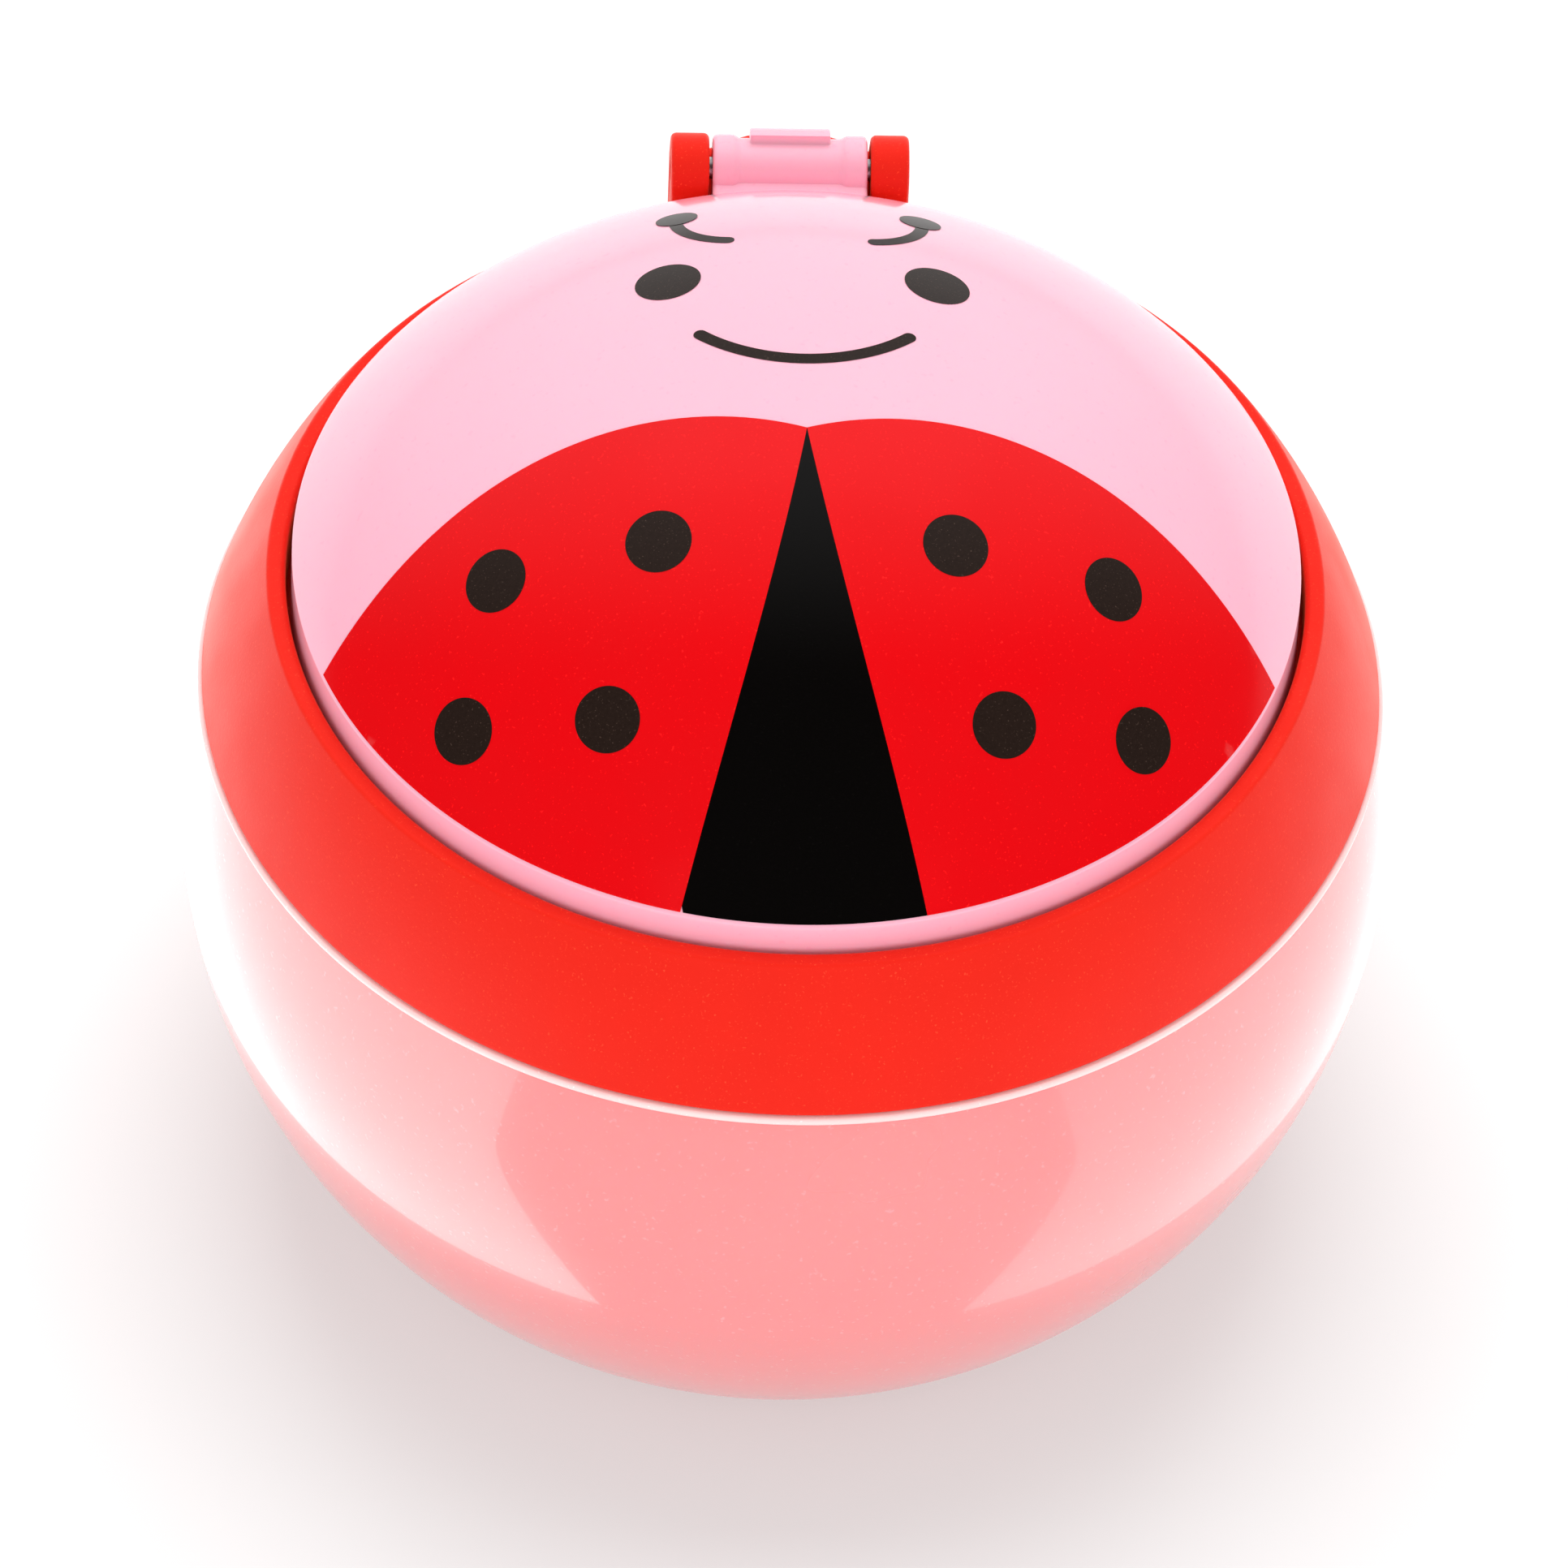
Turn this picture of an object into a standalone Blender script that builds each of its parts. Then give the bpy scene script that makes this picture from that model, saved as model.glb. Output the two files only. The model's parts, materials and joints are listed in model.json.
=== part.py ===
"""Child's ball-shaped snack cup with a domed hinged lid and soft finger flaps.

The cup comes apart as bowl, collar, flap insert, lid and hinge pin. The collar
turns on three ramped ribs of the bowl's neck, the flap insert sits in the
collar's deck like a grommet, and the lid swings on a pin between two lugs.

Metres, +Z up. The base rests on Z = 0 with the origin at its centre. The lid's
hinge is at +Y and the front of the cup is at -Y. Heights called "above the
ball" are measured from the centre of the ball that the outside is turned from.
"""
import math

import bmesh
import bpy
from mathutils import Vector

MM = 0.001

# The ball that the bowl and the lid are turned from.
BALL_RADIUS = 54.0 * MM
BALL_CENTRE_Z = 37.8 * MM
BASE_FILLET = 4.0 * MM

# Heights above the ball's centre where one piece hands over to the next.
SEAM_HEIGHT = 14.25 * MM
DECK_TOP_HEIGHT = 22.6 * MM
LIP_HEIGHT = 27.9 * MM
LID_EDGE_HEIGHT = 30.3 * MM

# Walls.
BOWL_WALL = 1.8 * MM
BASE_WALL = 2.2 * MM
INNER_FILLET = 6.0 * MM
SHOULDER_WALL = 2.2 * MM
NECK_WALL = 1.8 * MM
SKIRT_WALL = 2.0 * MM
DECK_WALL = 1.8 * MM
LID_WALL = 1.8 * MM

# Collar.
COLLAR_PROUD = 0.4 * MM
LIP_ROUND = 0.5 * MM
RIM_WALL = 1.4 * MM
RIM_RISE = 1.5 * MM
RIM_GAP = 1.7 * MM

# Turn lock between the bowl's neck and the collar.
LOCK_RIBS = 3
RIB_ARC = math.radians(40.0)
RIB_LEAD = 15.0 * MM
RIB_HEIGHT = 1.3 * MM
RIB_ROOT = 1.4 * MM
RIB_CREST = 0.9 * MM
RIB_SINK = 0.5 * MM
NECK_RIB_RISE = 3.05 * MM

# Flap insert: a soft grommet with a window that the flaps close.
FLAPS = 6
MOUTH_LEDGE = 7.8 * MM
GROMMET_WALL = 2.0 * MM
LOWER_FLANGE = 3.0 * MM
UPPER_FLANGE = 1.6 * MM
FLAP_THICKNESS = 1.2 * MM
FLAP_WEB = 6.1 * MM
FLAP_HINGE_GAP = 1.0 * MM
FLAP_SLIT = 0.8 * MM
FLAP_CENTRE_HOLE = 3.0 * MM

# Hinge.
HINGE_ABOVE_EDGE = 0.1 * MM
BARREL_RADIUS = 3.05 * MM
BARREL_HALF = 6.95 * MM
BARREL_TO_LID = 0.89 * MM
LUG_PROUD = 0.1 * MM
LUG_WIDTH = 3.45 * MM
PIN_RADIUS = 1.0 * MM
WEB_BELOW_AXIS = 1.5 * MM
WEB_ABOVE_AXIS = 0.8 * MM
TAB_HALF = 3.6 * MM
TAB_PROUD = 0.6 * MM
TAB_SINK = 0.3 * MM
TAB_START = math.radians(30.0)
TAB_END = math.radians(80.0)
TROUGH_START = math.radians(-40.0)
TROUGH_END = math.radians(-140.0)
BLOCK_DROP = 3.3 * MM
BLOCK_SINK = 0.5 * MM
BLOCK_CORNER_DROP = 1.9 * MM
BRIDGE_WALL = 1.4 * MM
BRIDGE_ARCH = 1.9 * MM
BRIDGE_BELOW_AXIS = 0.15 * MM
PIN_INSET = 0.15 * MM

# Clearances.
TOUCH_GAP = 0.3 * MM
SEAM_GAP = 0.3 * MM
RIB_CLEARANCE = 0.5 * MM
RIB_PLAY = 0.3 * MM
NECK_CLEARANCE = 0.6 * MM
LID_GROOVE = 1.3 * MM
LID_SEAT_GAP = 0.5 * MM
PIN_CLEARANCE = 0.15 * MM
TAB_CLEARANCE = 0.3 * MM
EDGE_BREAK = 0.35 * MM

# Tools that join a body stand this far off its faces, so that no two faces lie in one plane.
UNION_STEP = 0.07 * MM

# Flats in a full turn, a pin, a lock rib, and the arcs of the outlines.
TURN_STEPS = 64
PIN_STEPS = 24
RIB_STEPS = 10
WALL_STEPS = 9
FILLET_STEPS = 4
DOME_STEPS = 11
SKIRT_STEPS = 5
BARREL_STEPS = 20
TAB_STEPS = 6
SADDLE_STEPS = 14


def radius_at(ball_radius, height):
    """Radius of a ball at a height above its centre."""
    return math.sqrt(ball_radius ** 2 - height ** 2)


# Sizes that follow from the driving ones. Heights are still above the ball.
BASE_HEIGHT = -BALL_CENTRE_Z
INNER_RADIUS = BALL_RADIUS - BOWL_WALL
COLLAR_RADIUS = BALL_RADIUS + COLLAR_PROUD
SEAM_RADIUS = radius_at(BALL_RADIUS, SEAM_HEIGHT)
LID_RADIUS = radius_at(BALL_RADIUS, LID_EDGE_HEIGHT)
LID_INNER_RADIUS = LID_RADIUS - LID_WALL
COLLAR_BORE = LID_RADIUS + LID_GROOVE
DECK_UNDER_HEIGHT = DECK_TOP_HEIGHT - DECK_WALL
SKIRT_BORE = radius_at(COLLAR_RADIUS, DECK_UNDER_HEIGHT) - SKIRT_WALL
NECK_RADIUS = SKIRT_BORE - RIB_HEIGHT - RIB_CLEARANCE
NECK_INNER_RADIUS = NECK_RADIUS - NECK_WALL
NECK_TOP_HEIGHT = DECK_UNDER_HEIGHT - NECK_CLEARANCE
MOUTH_RADIUS = NECK_INNER_RADIUS - MOUTH_LEDGE
GROMMET_RADIUS = MOUTH_RADIUS - TOUCH_GAP
GROMMET_INNER = GROMMET_RADIUS - GROMMET_WALL
FLAP_TOP_HEIGHT = DECK_UNDER_HEIGHT - TOUCH_GAP
FLAP_UNDER_HEIGHT = FLAP_TOP_HEIGHT - FLAP_THICKNESS
FLAP_HINGE_RADIUS = GROMMET_INNER - FLAP_WEB
HINGE_Y = LID_RADIUS + BARREL_TO_LID + BARREL_RADIUS
HINGE_HEIGHT = LID_EDGE_HEIGHT + HINGE_ABOVE_EDGE
LUG_INNER_X = BARREL_HALF + TOUCH_GAP
LUG_OUTER_X = LUG_INNER_X + LUG_WIDTH
LUG_RADIUS = BARREL_RADIUS + LUG_PROUD
BORE_RADIUS = PIN_RADIUS + PIN_CLEARANCE
TAB_RADIUS = BARREL_RADIUS + TAB_PROUD
RELIEF_RADIUS = TAB_RADIUS + TAB_CLEARANCE
BLOCK_BACK = HINGE_Y + RELIEF_RADIUS + BRIDGE_WALL


def make_material(name, colour, roughness, alpha=1.0, metallic=0.0):
    """A plain Principled material in a linear colour."""
    material = bpy.data.materials.new(name)
    material.use_nodes = True
    shader = material.node_tree.nodes["Principled BSDF"]
    shader.inputs["Base Color"].default_value = (*colour, 1.0)
    shader.inputs["Roughness"].default_value = roughness
    shader.inputs["Metallic"].default_value = metallic
    shader.inputs["Alpha"].default_value = alpha
    return material


def add_object(name, bm, origin=(0.0, 0.0, 0.0), material=None):
    """Turn a bmesh, given in world places, into an object with its own origin."""
    bmesh.ops.recalc_face_normals(bm, faces=bm.faces)
    bmesh.ops.translate(bm, verts=bm.verts, vec=-Vector(origin))
    mesh = bpy.data.meshes.new(name)
    bm.to_mesh(mesh)
    bm.free()
    mesh.shade_smooth()
    mesh.set_sharp_from_angle(angle=math.radians(30.0))
    obj = bpy.data.objects.new(name, mesh)
    obj.location = origin
    bpy.context.scene.collection.objects.link(obj)
    if material:
        mesh.materials.append(material)
    return obj


def combine(obj, tool, operation):
    """Join a tool to an object, or cut it away, and hide the tool."""
    modifier = obj.modifiers.new(tool.name, "BOOLEAN")
    modifier.object = tool
    modifier.operation = operation
    modifier.solver = "EXACT"
    tool.hide_render = True
    tool.display_type = "WIRE"


def spaced(start, end, steps):
    """Evenly spaced values, both ends included."""
    return [start + (end - start) * step / steps for step in range(steps + 1)]


def arc(centre, radius, start, end, steps):
    """Points of an arc from one angle to another, both ends included."""
    return [(centre[0] + radius * math.cos(angle), centre[1] + radius * math.sin(angle))
            for angle in spaced(start, end, steps)]


def turned(profile, closed):
    """Turn a profile of radius and height above the ball about the Z axis."""
    bm = bmesh.new()
    verts = [bm.verts.new((radius, 0.0, BALL_CENTRE_Z + height)) for radius, height in profile]
    pairs = list(zip(verts, verts[1:]))
    if closed:
        pairs.append((verts[-1], verts[0]))
    edges = [bm.edges.new(pair) for pair in pairs]
    bmesh.ops.spin(bm, geom=verts + edges, cent=(0.0, 0.0, 0.0), axis=(0.0, 0.0, 1.0),
                   angle=math.tau, steps=TURN_STEPS, use_merge=True)
    bmesh.ops.remove_doubles(bm, verts=bm.verts, dist=0.001 * MM)
    return bm


def lofted(sections):
    """Close a row of matching outlines into one body."""
    bm = bmesh.new()
    rings = [[bm.verts.new(point) for point in section] for section in sections]
    count = len(sections[0])
    for near, far in zip(rings, rings[1:]):
        for i in range(count):
            j = (i + 1) % count
            bm.faces.new((near[i], near[j], far[j], far[i]))
    bm.faces.new(rings[0])
    bm.faces.new(rings[-1])
    return bm


def along_x(outline, start, end):
    """Extrude an outline of Y and height above the ball along X."""
    return lofted([[(x, y, BALL_CENTRE_Z + height) for y, height in outline]
                   for x in (start, end)])


def chamfered(corner_a, corner_b, size):
    """Two points that break the end of a wall between two corners."""
    step = math.copysign(size, corner_b[0] - corner_a[0])
    return [(corner_a[0] + step, corner_a[1]), (corner_b[0] - step, corner_b[1])]


def helical_rib(root_radius, crest_radius, start_height, start_angle):
    """One ramped rib of the turn lock, rising anticlockwise by the lead."""
    sections = []
    for turn in spaced(0.0, RIB_ARC, RIB_STEPS):
        height = BALL_CENTRE_Z + start_height + RIB_LEAD * turn / math.tau
        out = Vector((math.cos(start_angle + turn), math.sin(start_angle + turn), 0.0))
        sections.append([out * radius + Vector((0.0, 0.0, height + side))
                         for radius, side in ((root_radius, -RIB_ROOT / 2.0),
                                              (crest_radius, -RIB_CREST / 2.0),
                                              (crest_radius, RIB_CREST / 2.0),
                                              (root_radius, RIB_ROOT / 2.0))])
    return lofted(sections)


def add_lock_ribs(obj, root_radius, crest_radius, start_height):
    """Join the evenly spaced ribs of the turn lock to a wall."""
    for index in range(LOCK_RIBS):
        angle = math.tau * index / LOCK_RIBS
        rib = helical_rib(root_radius, crest_radius, start_height, angle)
        tool = add_object(f"{obj.name}_rib_tool_{index + 1}", rib)
        combine(obj, tool, "UNION")


def build_bowl(material):
    """Ball-shaped bowl with a flat base, a shoulder and a ribbed neck."""
    base_centre = (radius_at(BALL_RADIUS - BASE_FILLET, BASE_HEIGHT + BASE_FILLET),
                   BASE_HEIGHT + BASE_FILLET)
    base_angle = math.atan2(base_centre[1], base_centre[0])
    seam_angle = math.asin((SEAM_HEIGHT - EDGE_BREAK) / BALL_RADIUS)
    floor_height = BASE_HEIGHT + BASE_WALL
    floor_centre = (radius_at(INNER_RADIUS - INNER_FILLET, floor_height + INNER_FILLET),
                    floor_height + INNER_FILLET)
    floor_angle = math.atan2(floor_centre[1], floor_centre[0])
    ceiling_height = SEAM_HEIGHT - SHOULDER_WALL
    ceiling_angle = math.asin((ceiling_height - SHOULDER_WALL / 2.0) / INNER_RADIUS)

    profile = [(0.0, BASE_HEIGHT)]
    profile += arc(base_centre, BASE_FILLET, -math.pi / 2.0, base_angle, FILLET_STEPS)
    profile += arc((0.0, 0.0), BALL_RADIUS, base_angle, seam_angle, WALL_STEPS)[1:]
    profile += [(SEAM_RADIUS - EDGE_BREAK, SEAM_HEIGHT), (NECK_RADIUS, SEAM_HEIGHT),
                (NECK_RADIUS, NECK_TOP_HEIGHT - EDGE_BREAK)]
    profile += chamfered((NECK_RADIUS, NECK_TOP_HEIGHT), (NECK_INNER_RADIUS, NECK_TOP_HEIGHT),
                         EDGE_BREAK)
    profile += [(NECK_INNER_RADIUS, NECK_TOP_HEIGHT - EDGE_BREAK),
                (NECK_INNER_RADIUS, SEAM_HEIGHT - SHOULDER_WALL / 2.0),
                (NECK_INNER_RADIUS + SHOULDER_WALL / 2.0, ceiling_height),
                (radius_at(INNER_RADIUS, ceiling_height) - SHOULDER_WALL / 4.0, ceiling_height)]
    profile += arc((0.0, 0.0), INNER_RADIUS, ceiling_angle, floor_angle, WALL_STEPS)
    profile += arc(floor_centre, INNER_FILLET, floor_angle, -math.pi / 2.0, FILLET_STEPS)[1:]
    profile.append((0.0, floor_height))

    bowl = add_object("bowl", turned(profile, closed=False), material=material)
    add_lock_ribs(bowl, NECK_RADIUS - RIB_SINK, NECK_RADIUS + RIB_HEIGHT,
                  SEAM_HEIGHT + NECK_RIB_RISE)
    return bowl


def hinge_point():
    """Middle of the lid's hinge axis in the world."""
    return (0.0, HINGE_Y, BALL_CENTRE_Z + HINGE_HEIGHT)


def pin_bore(name):
    """A cutter along the hinge axis, longer than the hinge."""
    outline = arc((HINGE_Y, HINGE_HEIGHT), BORE_RADIUS, 0.0, math.tau, PIN_STEPS)[:-1]
    reach = LUG_OUTER_X + LUG_WIDTH
    return add_object(name, along_x(outline, -reach, reach))


def bridge_top(x):
    """Height of the arched wall behind the barrel, which sinks into the lugs at its ends."""
    return HINGE_HEIGHT - BRIDGE_BELOW_AXIS - BRIDGE_ARCH * (x / LUG_INNER_X) ** 2


def foot_points(x, inset):
    """The hinge's foot inside the collar's wall: front, inner and rear points."""
    rear_height = DECK_UNDER_HEIGHT - BLOCK_DROP
    rear_radius = radius_at(COLLAR_RADIUS, rear_height) - BLOCK_SINK - inset
    return [(HINGE_Y - LUG_RADIUS + inset, DECK_TOP_HEIGHT - DECK_WALL / 4.0),
            (radius_at(SKIRT_BORE + BLOCK_SINK, x), DECK_UNDER_HEIGHT + DECK_WALL / 4.0),
            (radius_at(rear_radius, x), rear_height)]


def lug_section(x):
    """Side outline of a lug: foot, back corner and round the pin to the front."""
    corner_y = radius_at(BLOCK_BACK, x)
    reach = math.hypot(corner_y - HINGE_Y, BLOCK_CORNER_DROP)
    tangent = math.acos(LUG_RADIUS / reach) - math.asin(BLOCK_CORNER_DROP / reach)
    outline = foot_points(x, 0.0) + [(corner_y, HINGE_HEIGHT - BLOCK_CORNER_DROP)]
    outline += arc((HINGE_Y, HINGE_HEIGHT), LUG_RADIUS, tangent, math.pi, WALL_STEPS)
    return [(x, y, BALL_CENTRE_Z + height) for y, height in outline]


def saddle_section(x):
    """Side outline between the lugs: foot, arched wall and the trough under the barrel."""
    top = bridge_top(x)
    outline = foot_points(x, UNION_STEP)
    outline += [(radius_at(BLOCK_BACK - UNION_STEP, x), top),
                (radius_at(BLOCK_BACK - BRIDGE_WALL + UNION_STEP, x), top)]
    outline += arc((HINGE_Y, HINGE_HEIGHT), RELIEF_RADIUS + UNION_STEP, TROUGH_START, TROUGH_END,
                   WALL_STEPS)
    return [(x, y, BALL_CENTRE_Z + height) for y, height in outline]


def add_hinge_block(collar):
    """Cut the lip for the barrel, then join the saddle and the two lugs to the collar."""
    relief = arc((HINGE_Y, HINGE_HEIGHT), RELIEF_RADIUS, 0.0, math.tau, PIN_STEPS)[:-1]
    reach = LUG_INNER_X + UNION_STEP
    combine(collar, add_object("barrel_relief_tool", along_x(relief, -reach, reach)),
            "DIFFERENCE")
    reach = LUG_INNER_X + LUG_WIDTH / 3.0
    saddle = lofted([saddle_section(x) for x in spaced(-reach, reach, SADDLE_STEPS)])
    combine(collar, add_object("saddle_tool", saddle), "UNION")
    for side, word in ((-1.0, "left"), (1.0, "right")):
        lug = lofted([lug_section(side * x) for x in spaced(LUG_INNER_X, LUG_OUTER_X, 2)])
        combine(collar, add_object(f"lug_tool_{word}", lug), "UNION")
    combine(collar, pin_bore("lug_bore_tool"), "DIFFERENCE")


def build_collar(material):
    """Collar with the lid's groove, the mouth's deck, hinge lugs and lock ribs."""
    bottom = SEAM_HEIGHT + SEAM_GAP
    bottom_angle = math.asin((bottom + EDGE_BREAK) / COLLAR_RADIUS)
    lip_angle = math.asin((LIP_HEIGHT - LIP_ROUND) / COLLAR_RADIUS)
    rim_radius = LID_INNER_RADIUS - RIM_GAP
    rim_top = DECK_TOP_HEIGHT + RIM_RISE
    lip_outer = radius_at(COLLAR_RADIUS, LIP_HEIGHT)
    lip_inner = COLLAR_BORE + LIP_ROUND / 2.0

    profile = arc((0.0, 0.0), COLLAR_RADIUS, bottom_angle, lip_angle, SKIRT_STEPS)
    profile += [((lip_outer + lip_inner) / 2.0, LIP_HEIGHT), (lip_inner, LIP_HEIGHT),
                (COLLAR_BORE, LIP_HEIGHT - LIP_ROUND), (COLLAR_BORE, DECK_TOP_HEIGHT),
                (rim_radius, DECK_TOP_HEIGHT), (rim_radius, rim_top),
                (rim_radius - RIM_WALL, rim_top), (rim_radius - RIM_WALL, DECK_TOP_HEIGHT),
                (MOUTH_RADIUS, DECK_TOP_HEIGHT), (MOUTH_RADIUS, DECK_UNDER_HEIGHT),
                (SKIRT_BORE, DECK_UNDER_HEIGHT), (SKIRT_BORE, bottom + EDGE_BREAK)]
    profile += chamfered((SKIRT_BORE, bottom), (radius_at(COLLAR_RADIUS, bottom), bottom),
                         EDGE_BREAK)
    collar = add_object("collar", turned(profile, closed=True), material=material)

    add_hinge_block(collar)
    add_lock_ribs(collar, SKIRT_BORE + RIB_SINK, SKIRT_BORE - RIB_HEIGHT,
                  SEAM_HEIGHT + NECK_RIB_RISE - RIB_ROOT - RIB_PLAY)
    return collar


def build_lid(material):
    """Domed lid with a skirt in the collar's groove and a hinge barrel."""
    skirt_bottom = DECK_TOP_HEIGHT + LID_SEAT_GAP
    edge_angle = math.asin(LID_EDGE_HEIGHT / BALL_RADIUS)
    inner_ball = BALL_RADIUS - LID_WALL
    inner_angle = math.acos(LID_INNER_RADIUS / inner_ball)

    profile = arc((0.0, 0.0), BALL_RADIUS, math.pi / 2.0, edge_angle, DOME_STEPS)
    profile[0] = (0.0, BALL_RADIUS)
    profile += [(LID_RADIUS, LID_EDGE_HEIGHT - EDGE_BREAK),
                (LID_RADIUS, skirt_bottom + EDGE_BREAK)]
    profile += chamfered((LID_RADIUS, skirt_bottom), (LID_INNER_RADIUS, skirt_bottom), EDGE_BREAK)
    profile += [(LID_INNER_RADIUS, skirt_bottom + EDGE_BREAK)]
    profile += arc((0.0, 0.0), inner_ball, inner_angle, math.pi / 2.0, WALL_STEPS)
    profile[-1] = (0.0, inner_ball)
    lid = add_object("lid", turned(profile, closed=False), origin=hinge_point(), material=material)

    web_end = LID_INNER_RADIUS + LID_WALL / 4.0
    top_angle = math.pi - math.asin(WEB_ABOVE_AXIS / BARREL_RADIUS)
    bottom_angle = math.asin(WEB_BELOW_AXIS / BARREL_RADIUS) - math.pi
    barrel = arc((HINGE_Y, HINGE_HEIGHT), BARREL_RADIUS, bottom_angle, top_angle, BARREL_STEPS)
    barrel += [(web_end, HINGE_HEIGHT + WEB_ABOVE_AXIS), (web_end, HINGE_HEIGHT - WEB_BELOW_AXIS)]
    combine(lid, add_object("barrel_tool", along_x(barrel, -BARREL_HALF, BARREL_HALF)), "UNION")

    tab = arc((HINGE_Y, HINGE_HEIGHT), TAB_RADIUS, TAB_START, TAB_END, TAB_STEPS)
    tab += arc((HINGE_Y, HINGE_HEIGHT), BARREL_RADIUS - TAB_SINK, TAB_END, TAB_START, TAB_STEPS)
    combine(lid, add_object("barrel_tab_tool", along_x(tab, -TAB_HALF, TAB_HALF)), "UNION")
    combine(lid, pin_bore("barrel_bore_tool"), "DIFFERENCE")
    return lid


def build_pin(material):
    """Hinge pin, a little shorter than the hinge is wide."""
    outline = arc((HINGE_Y, HINGE_HEIGHT), PIN_RADIUS, 0.0, math.tau, PIN_STEPS)[:-1]
    reach = LUG_OUTER_X - PIN_INSET
    return add_object("hinge_pin", along_x(outline, -reach, reach), origin=hinge_point(),
                      material=material)


def build_flap_ring(material):
    """Grommet that grips the deck's edge, with a window of one side per flap."""
    lower_radius = MOUTH_RADIUS + LOWER_FLANGE
    upper_radius = MOUTH_RADIUS + UPPER_FLANGE
    upper_under = DECK_TOP_HEIGHT + TOUCH_GAP
    upper_top = upper_under + FLAP_THICKNESS
    window_inside = FLAP_HINGE_RADIUS - FLAP_WEB
    profile = [(window_inside, FLAP_UNDER_HEIGHT), (lower_radius, FLAP_UNDER_HEIGHT),
               (lower_radius, FLAP_TOP_HEIGHT), (GROMMET_RADIUS, FLAP_TOP_HEIGHT),
               (GROMMET_RADIUS, upper_under), (upper_radius, upper_under),
               (upper_radius, upper_top - EDGE_BREAK), (upper_radius - EDGE_BREAK, upper_top),
               (GROMMET_INNER + EDGE_BREAK, upper_top), (GROMMET_INNER, upper_top - EDGE_BREAK),
               (GROMMET_INNER, FLAP_TOP_HEIGHT), (window_inside, FLAP_TOP_HEIGHT)]
    ring = add_object("flap_ring", turned(profile, closed=True), material=material)

    corner = (FLAP_HINGE_RADIUS + FLAP_HINGE_GAP / 2.0) / math.cos(math.pi / FLAPS)
    window = []
    for height in (FLAP_UNDER_HEIGHT - FLAP_THICKNESS, FLAP_TOP_HEIGHT + FLAP_THICKNESS):
        turns = [math.tau * (index + 0.5) / FLAPS for index in range(FLAPS)]
        window.append([(corner * math.cos(turn), corner * math.sin(turn), BALL_CENTRE_Z + height)
                       for turn in turns])
    combine(ring, add_object("flap_window_tool", lofted(window)), "DIFFERENCE")
    return ring


def build_flap(index, material):
    """One soft flap, a wedge from its hinge line to the hole at the middle."""
    turn = math.tau * index / FLAPS
    out = Vector((math.cos(turn), math.sin(turn), 0.0))
    side = Vector((-math.sin(turn), math.cos(turn), 0.0))
    root = FLAP_HINGE_RADIUS - FLAP_HINGE_GAP / 2.0
    slit = FLAP_SLIT / 2.0 / math.cos(math.pi / FLAPS)
    root_half = root * math.tan(math.pi / FLAPS) - slit
    tip_half = FLAP_CENTRE_HOLE * math.tan(math.pi / FLAPS) - slit
    corners = ((root, -root_half), (root, root_half),
               (FLAP_CENTRE_HOLE, tip_half), (FLAP_CENTRE_HOLE, -tip_half))
    sections = []
    for height in (FLAP_UNDER_HEIGHT, FLAP_TOP_HEIGHT):
        lift = Vector((0.0, 0.0, BALL_CENTRE_Z + height))
        sections.append([out * radius + side * offset + lift for radius, offset in corners])
    middle = BALL_CENTRE_Z + (FLAP_UNDER_HEIGHT + FLAP_TOP_HEIGHT) / 2.0
    origin = out * FLAP_HINGE_RADIUS + Vector((0.0, 0.0, middle))
    return add_object(f"flap_{index + 1}", lofted(sections), origin=origin, material=material)


def main():
    for obj in list(bpy.data.objects):
        bpy.data.objects.remove(obj, do_unlink=True)
    rose = make_material("translucent_rose_plastic", (1.0, 0.38, 0.38), 0.12, alpha=0.8)
    red = make_material("satin_red_plastic", (0.86, 0.04, 0.02), 0.35)
    pink = make_material("gloss_pink_plastic", (1.0, 0.55, 0.69), 0.12)
    steel = make_material("bright_steel_wire", (0.75, 0.75, 0.76), 0.25, metallic=1.0)
    soft = make_material("soft_clear_elastomer", (0.95, 0.72, 0.74), 0.5)
    build_bowl(rose)
    build_collar(red)
    build_lid(pink)
    build_pin(steel)
    build_flap_ring(soft)
    for index in range(FLAPS):
        build_flap(index, soft)


main()
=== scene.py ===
import json
import math

import bmesh
import bpy
from mathutils import Matrix, Vector, geometry


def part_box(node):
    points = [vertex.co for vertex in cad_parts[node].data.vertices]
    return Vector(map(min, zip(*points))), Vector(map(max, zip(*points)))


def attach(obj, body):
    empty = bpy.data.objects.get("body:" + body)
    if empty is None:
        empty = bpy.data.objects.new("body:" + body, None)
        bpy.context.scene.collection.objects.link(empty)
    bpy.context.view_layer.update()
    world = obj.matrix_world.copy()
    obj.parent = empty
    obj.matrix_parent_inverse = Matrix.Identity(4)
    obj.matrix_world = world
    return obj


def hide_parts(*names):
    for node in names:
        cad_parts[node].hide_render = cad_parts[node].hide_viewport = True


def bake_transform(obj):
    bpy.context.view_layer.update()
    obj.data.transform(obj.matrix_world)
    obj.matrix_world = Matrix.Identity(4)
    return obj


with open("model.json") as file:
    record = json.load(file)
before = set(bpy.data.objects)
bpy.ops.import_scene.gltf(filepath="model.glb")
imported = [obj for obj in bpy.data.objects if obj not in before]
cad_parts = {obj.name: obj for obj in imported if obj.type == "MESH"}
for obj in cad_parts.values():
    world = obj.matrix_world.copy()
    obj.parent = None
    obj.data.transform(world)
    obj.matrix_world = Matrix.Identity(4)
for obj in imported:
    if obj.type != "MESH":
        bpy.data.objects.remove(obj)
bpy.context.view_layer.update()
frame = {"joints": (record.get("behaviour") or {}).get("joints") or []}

MM = 0.001

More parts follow.
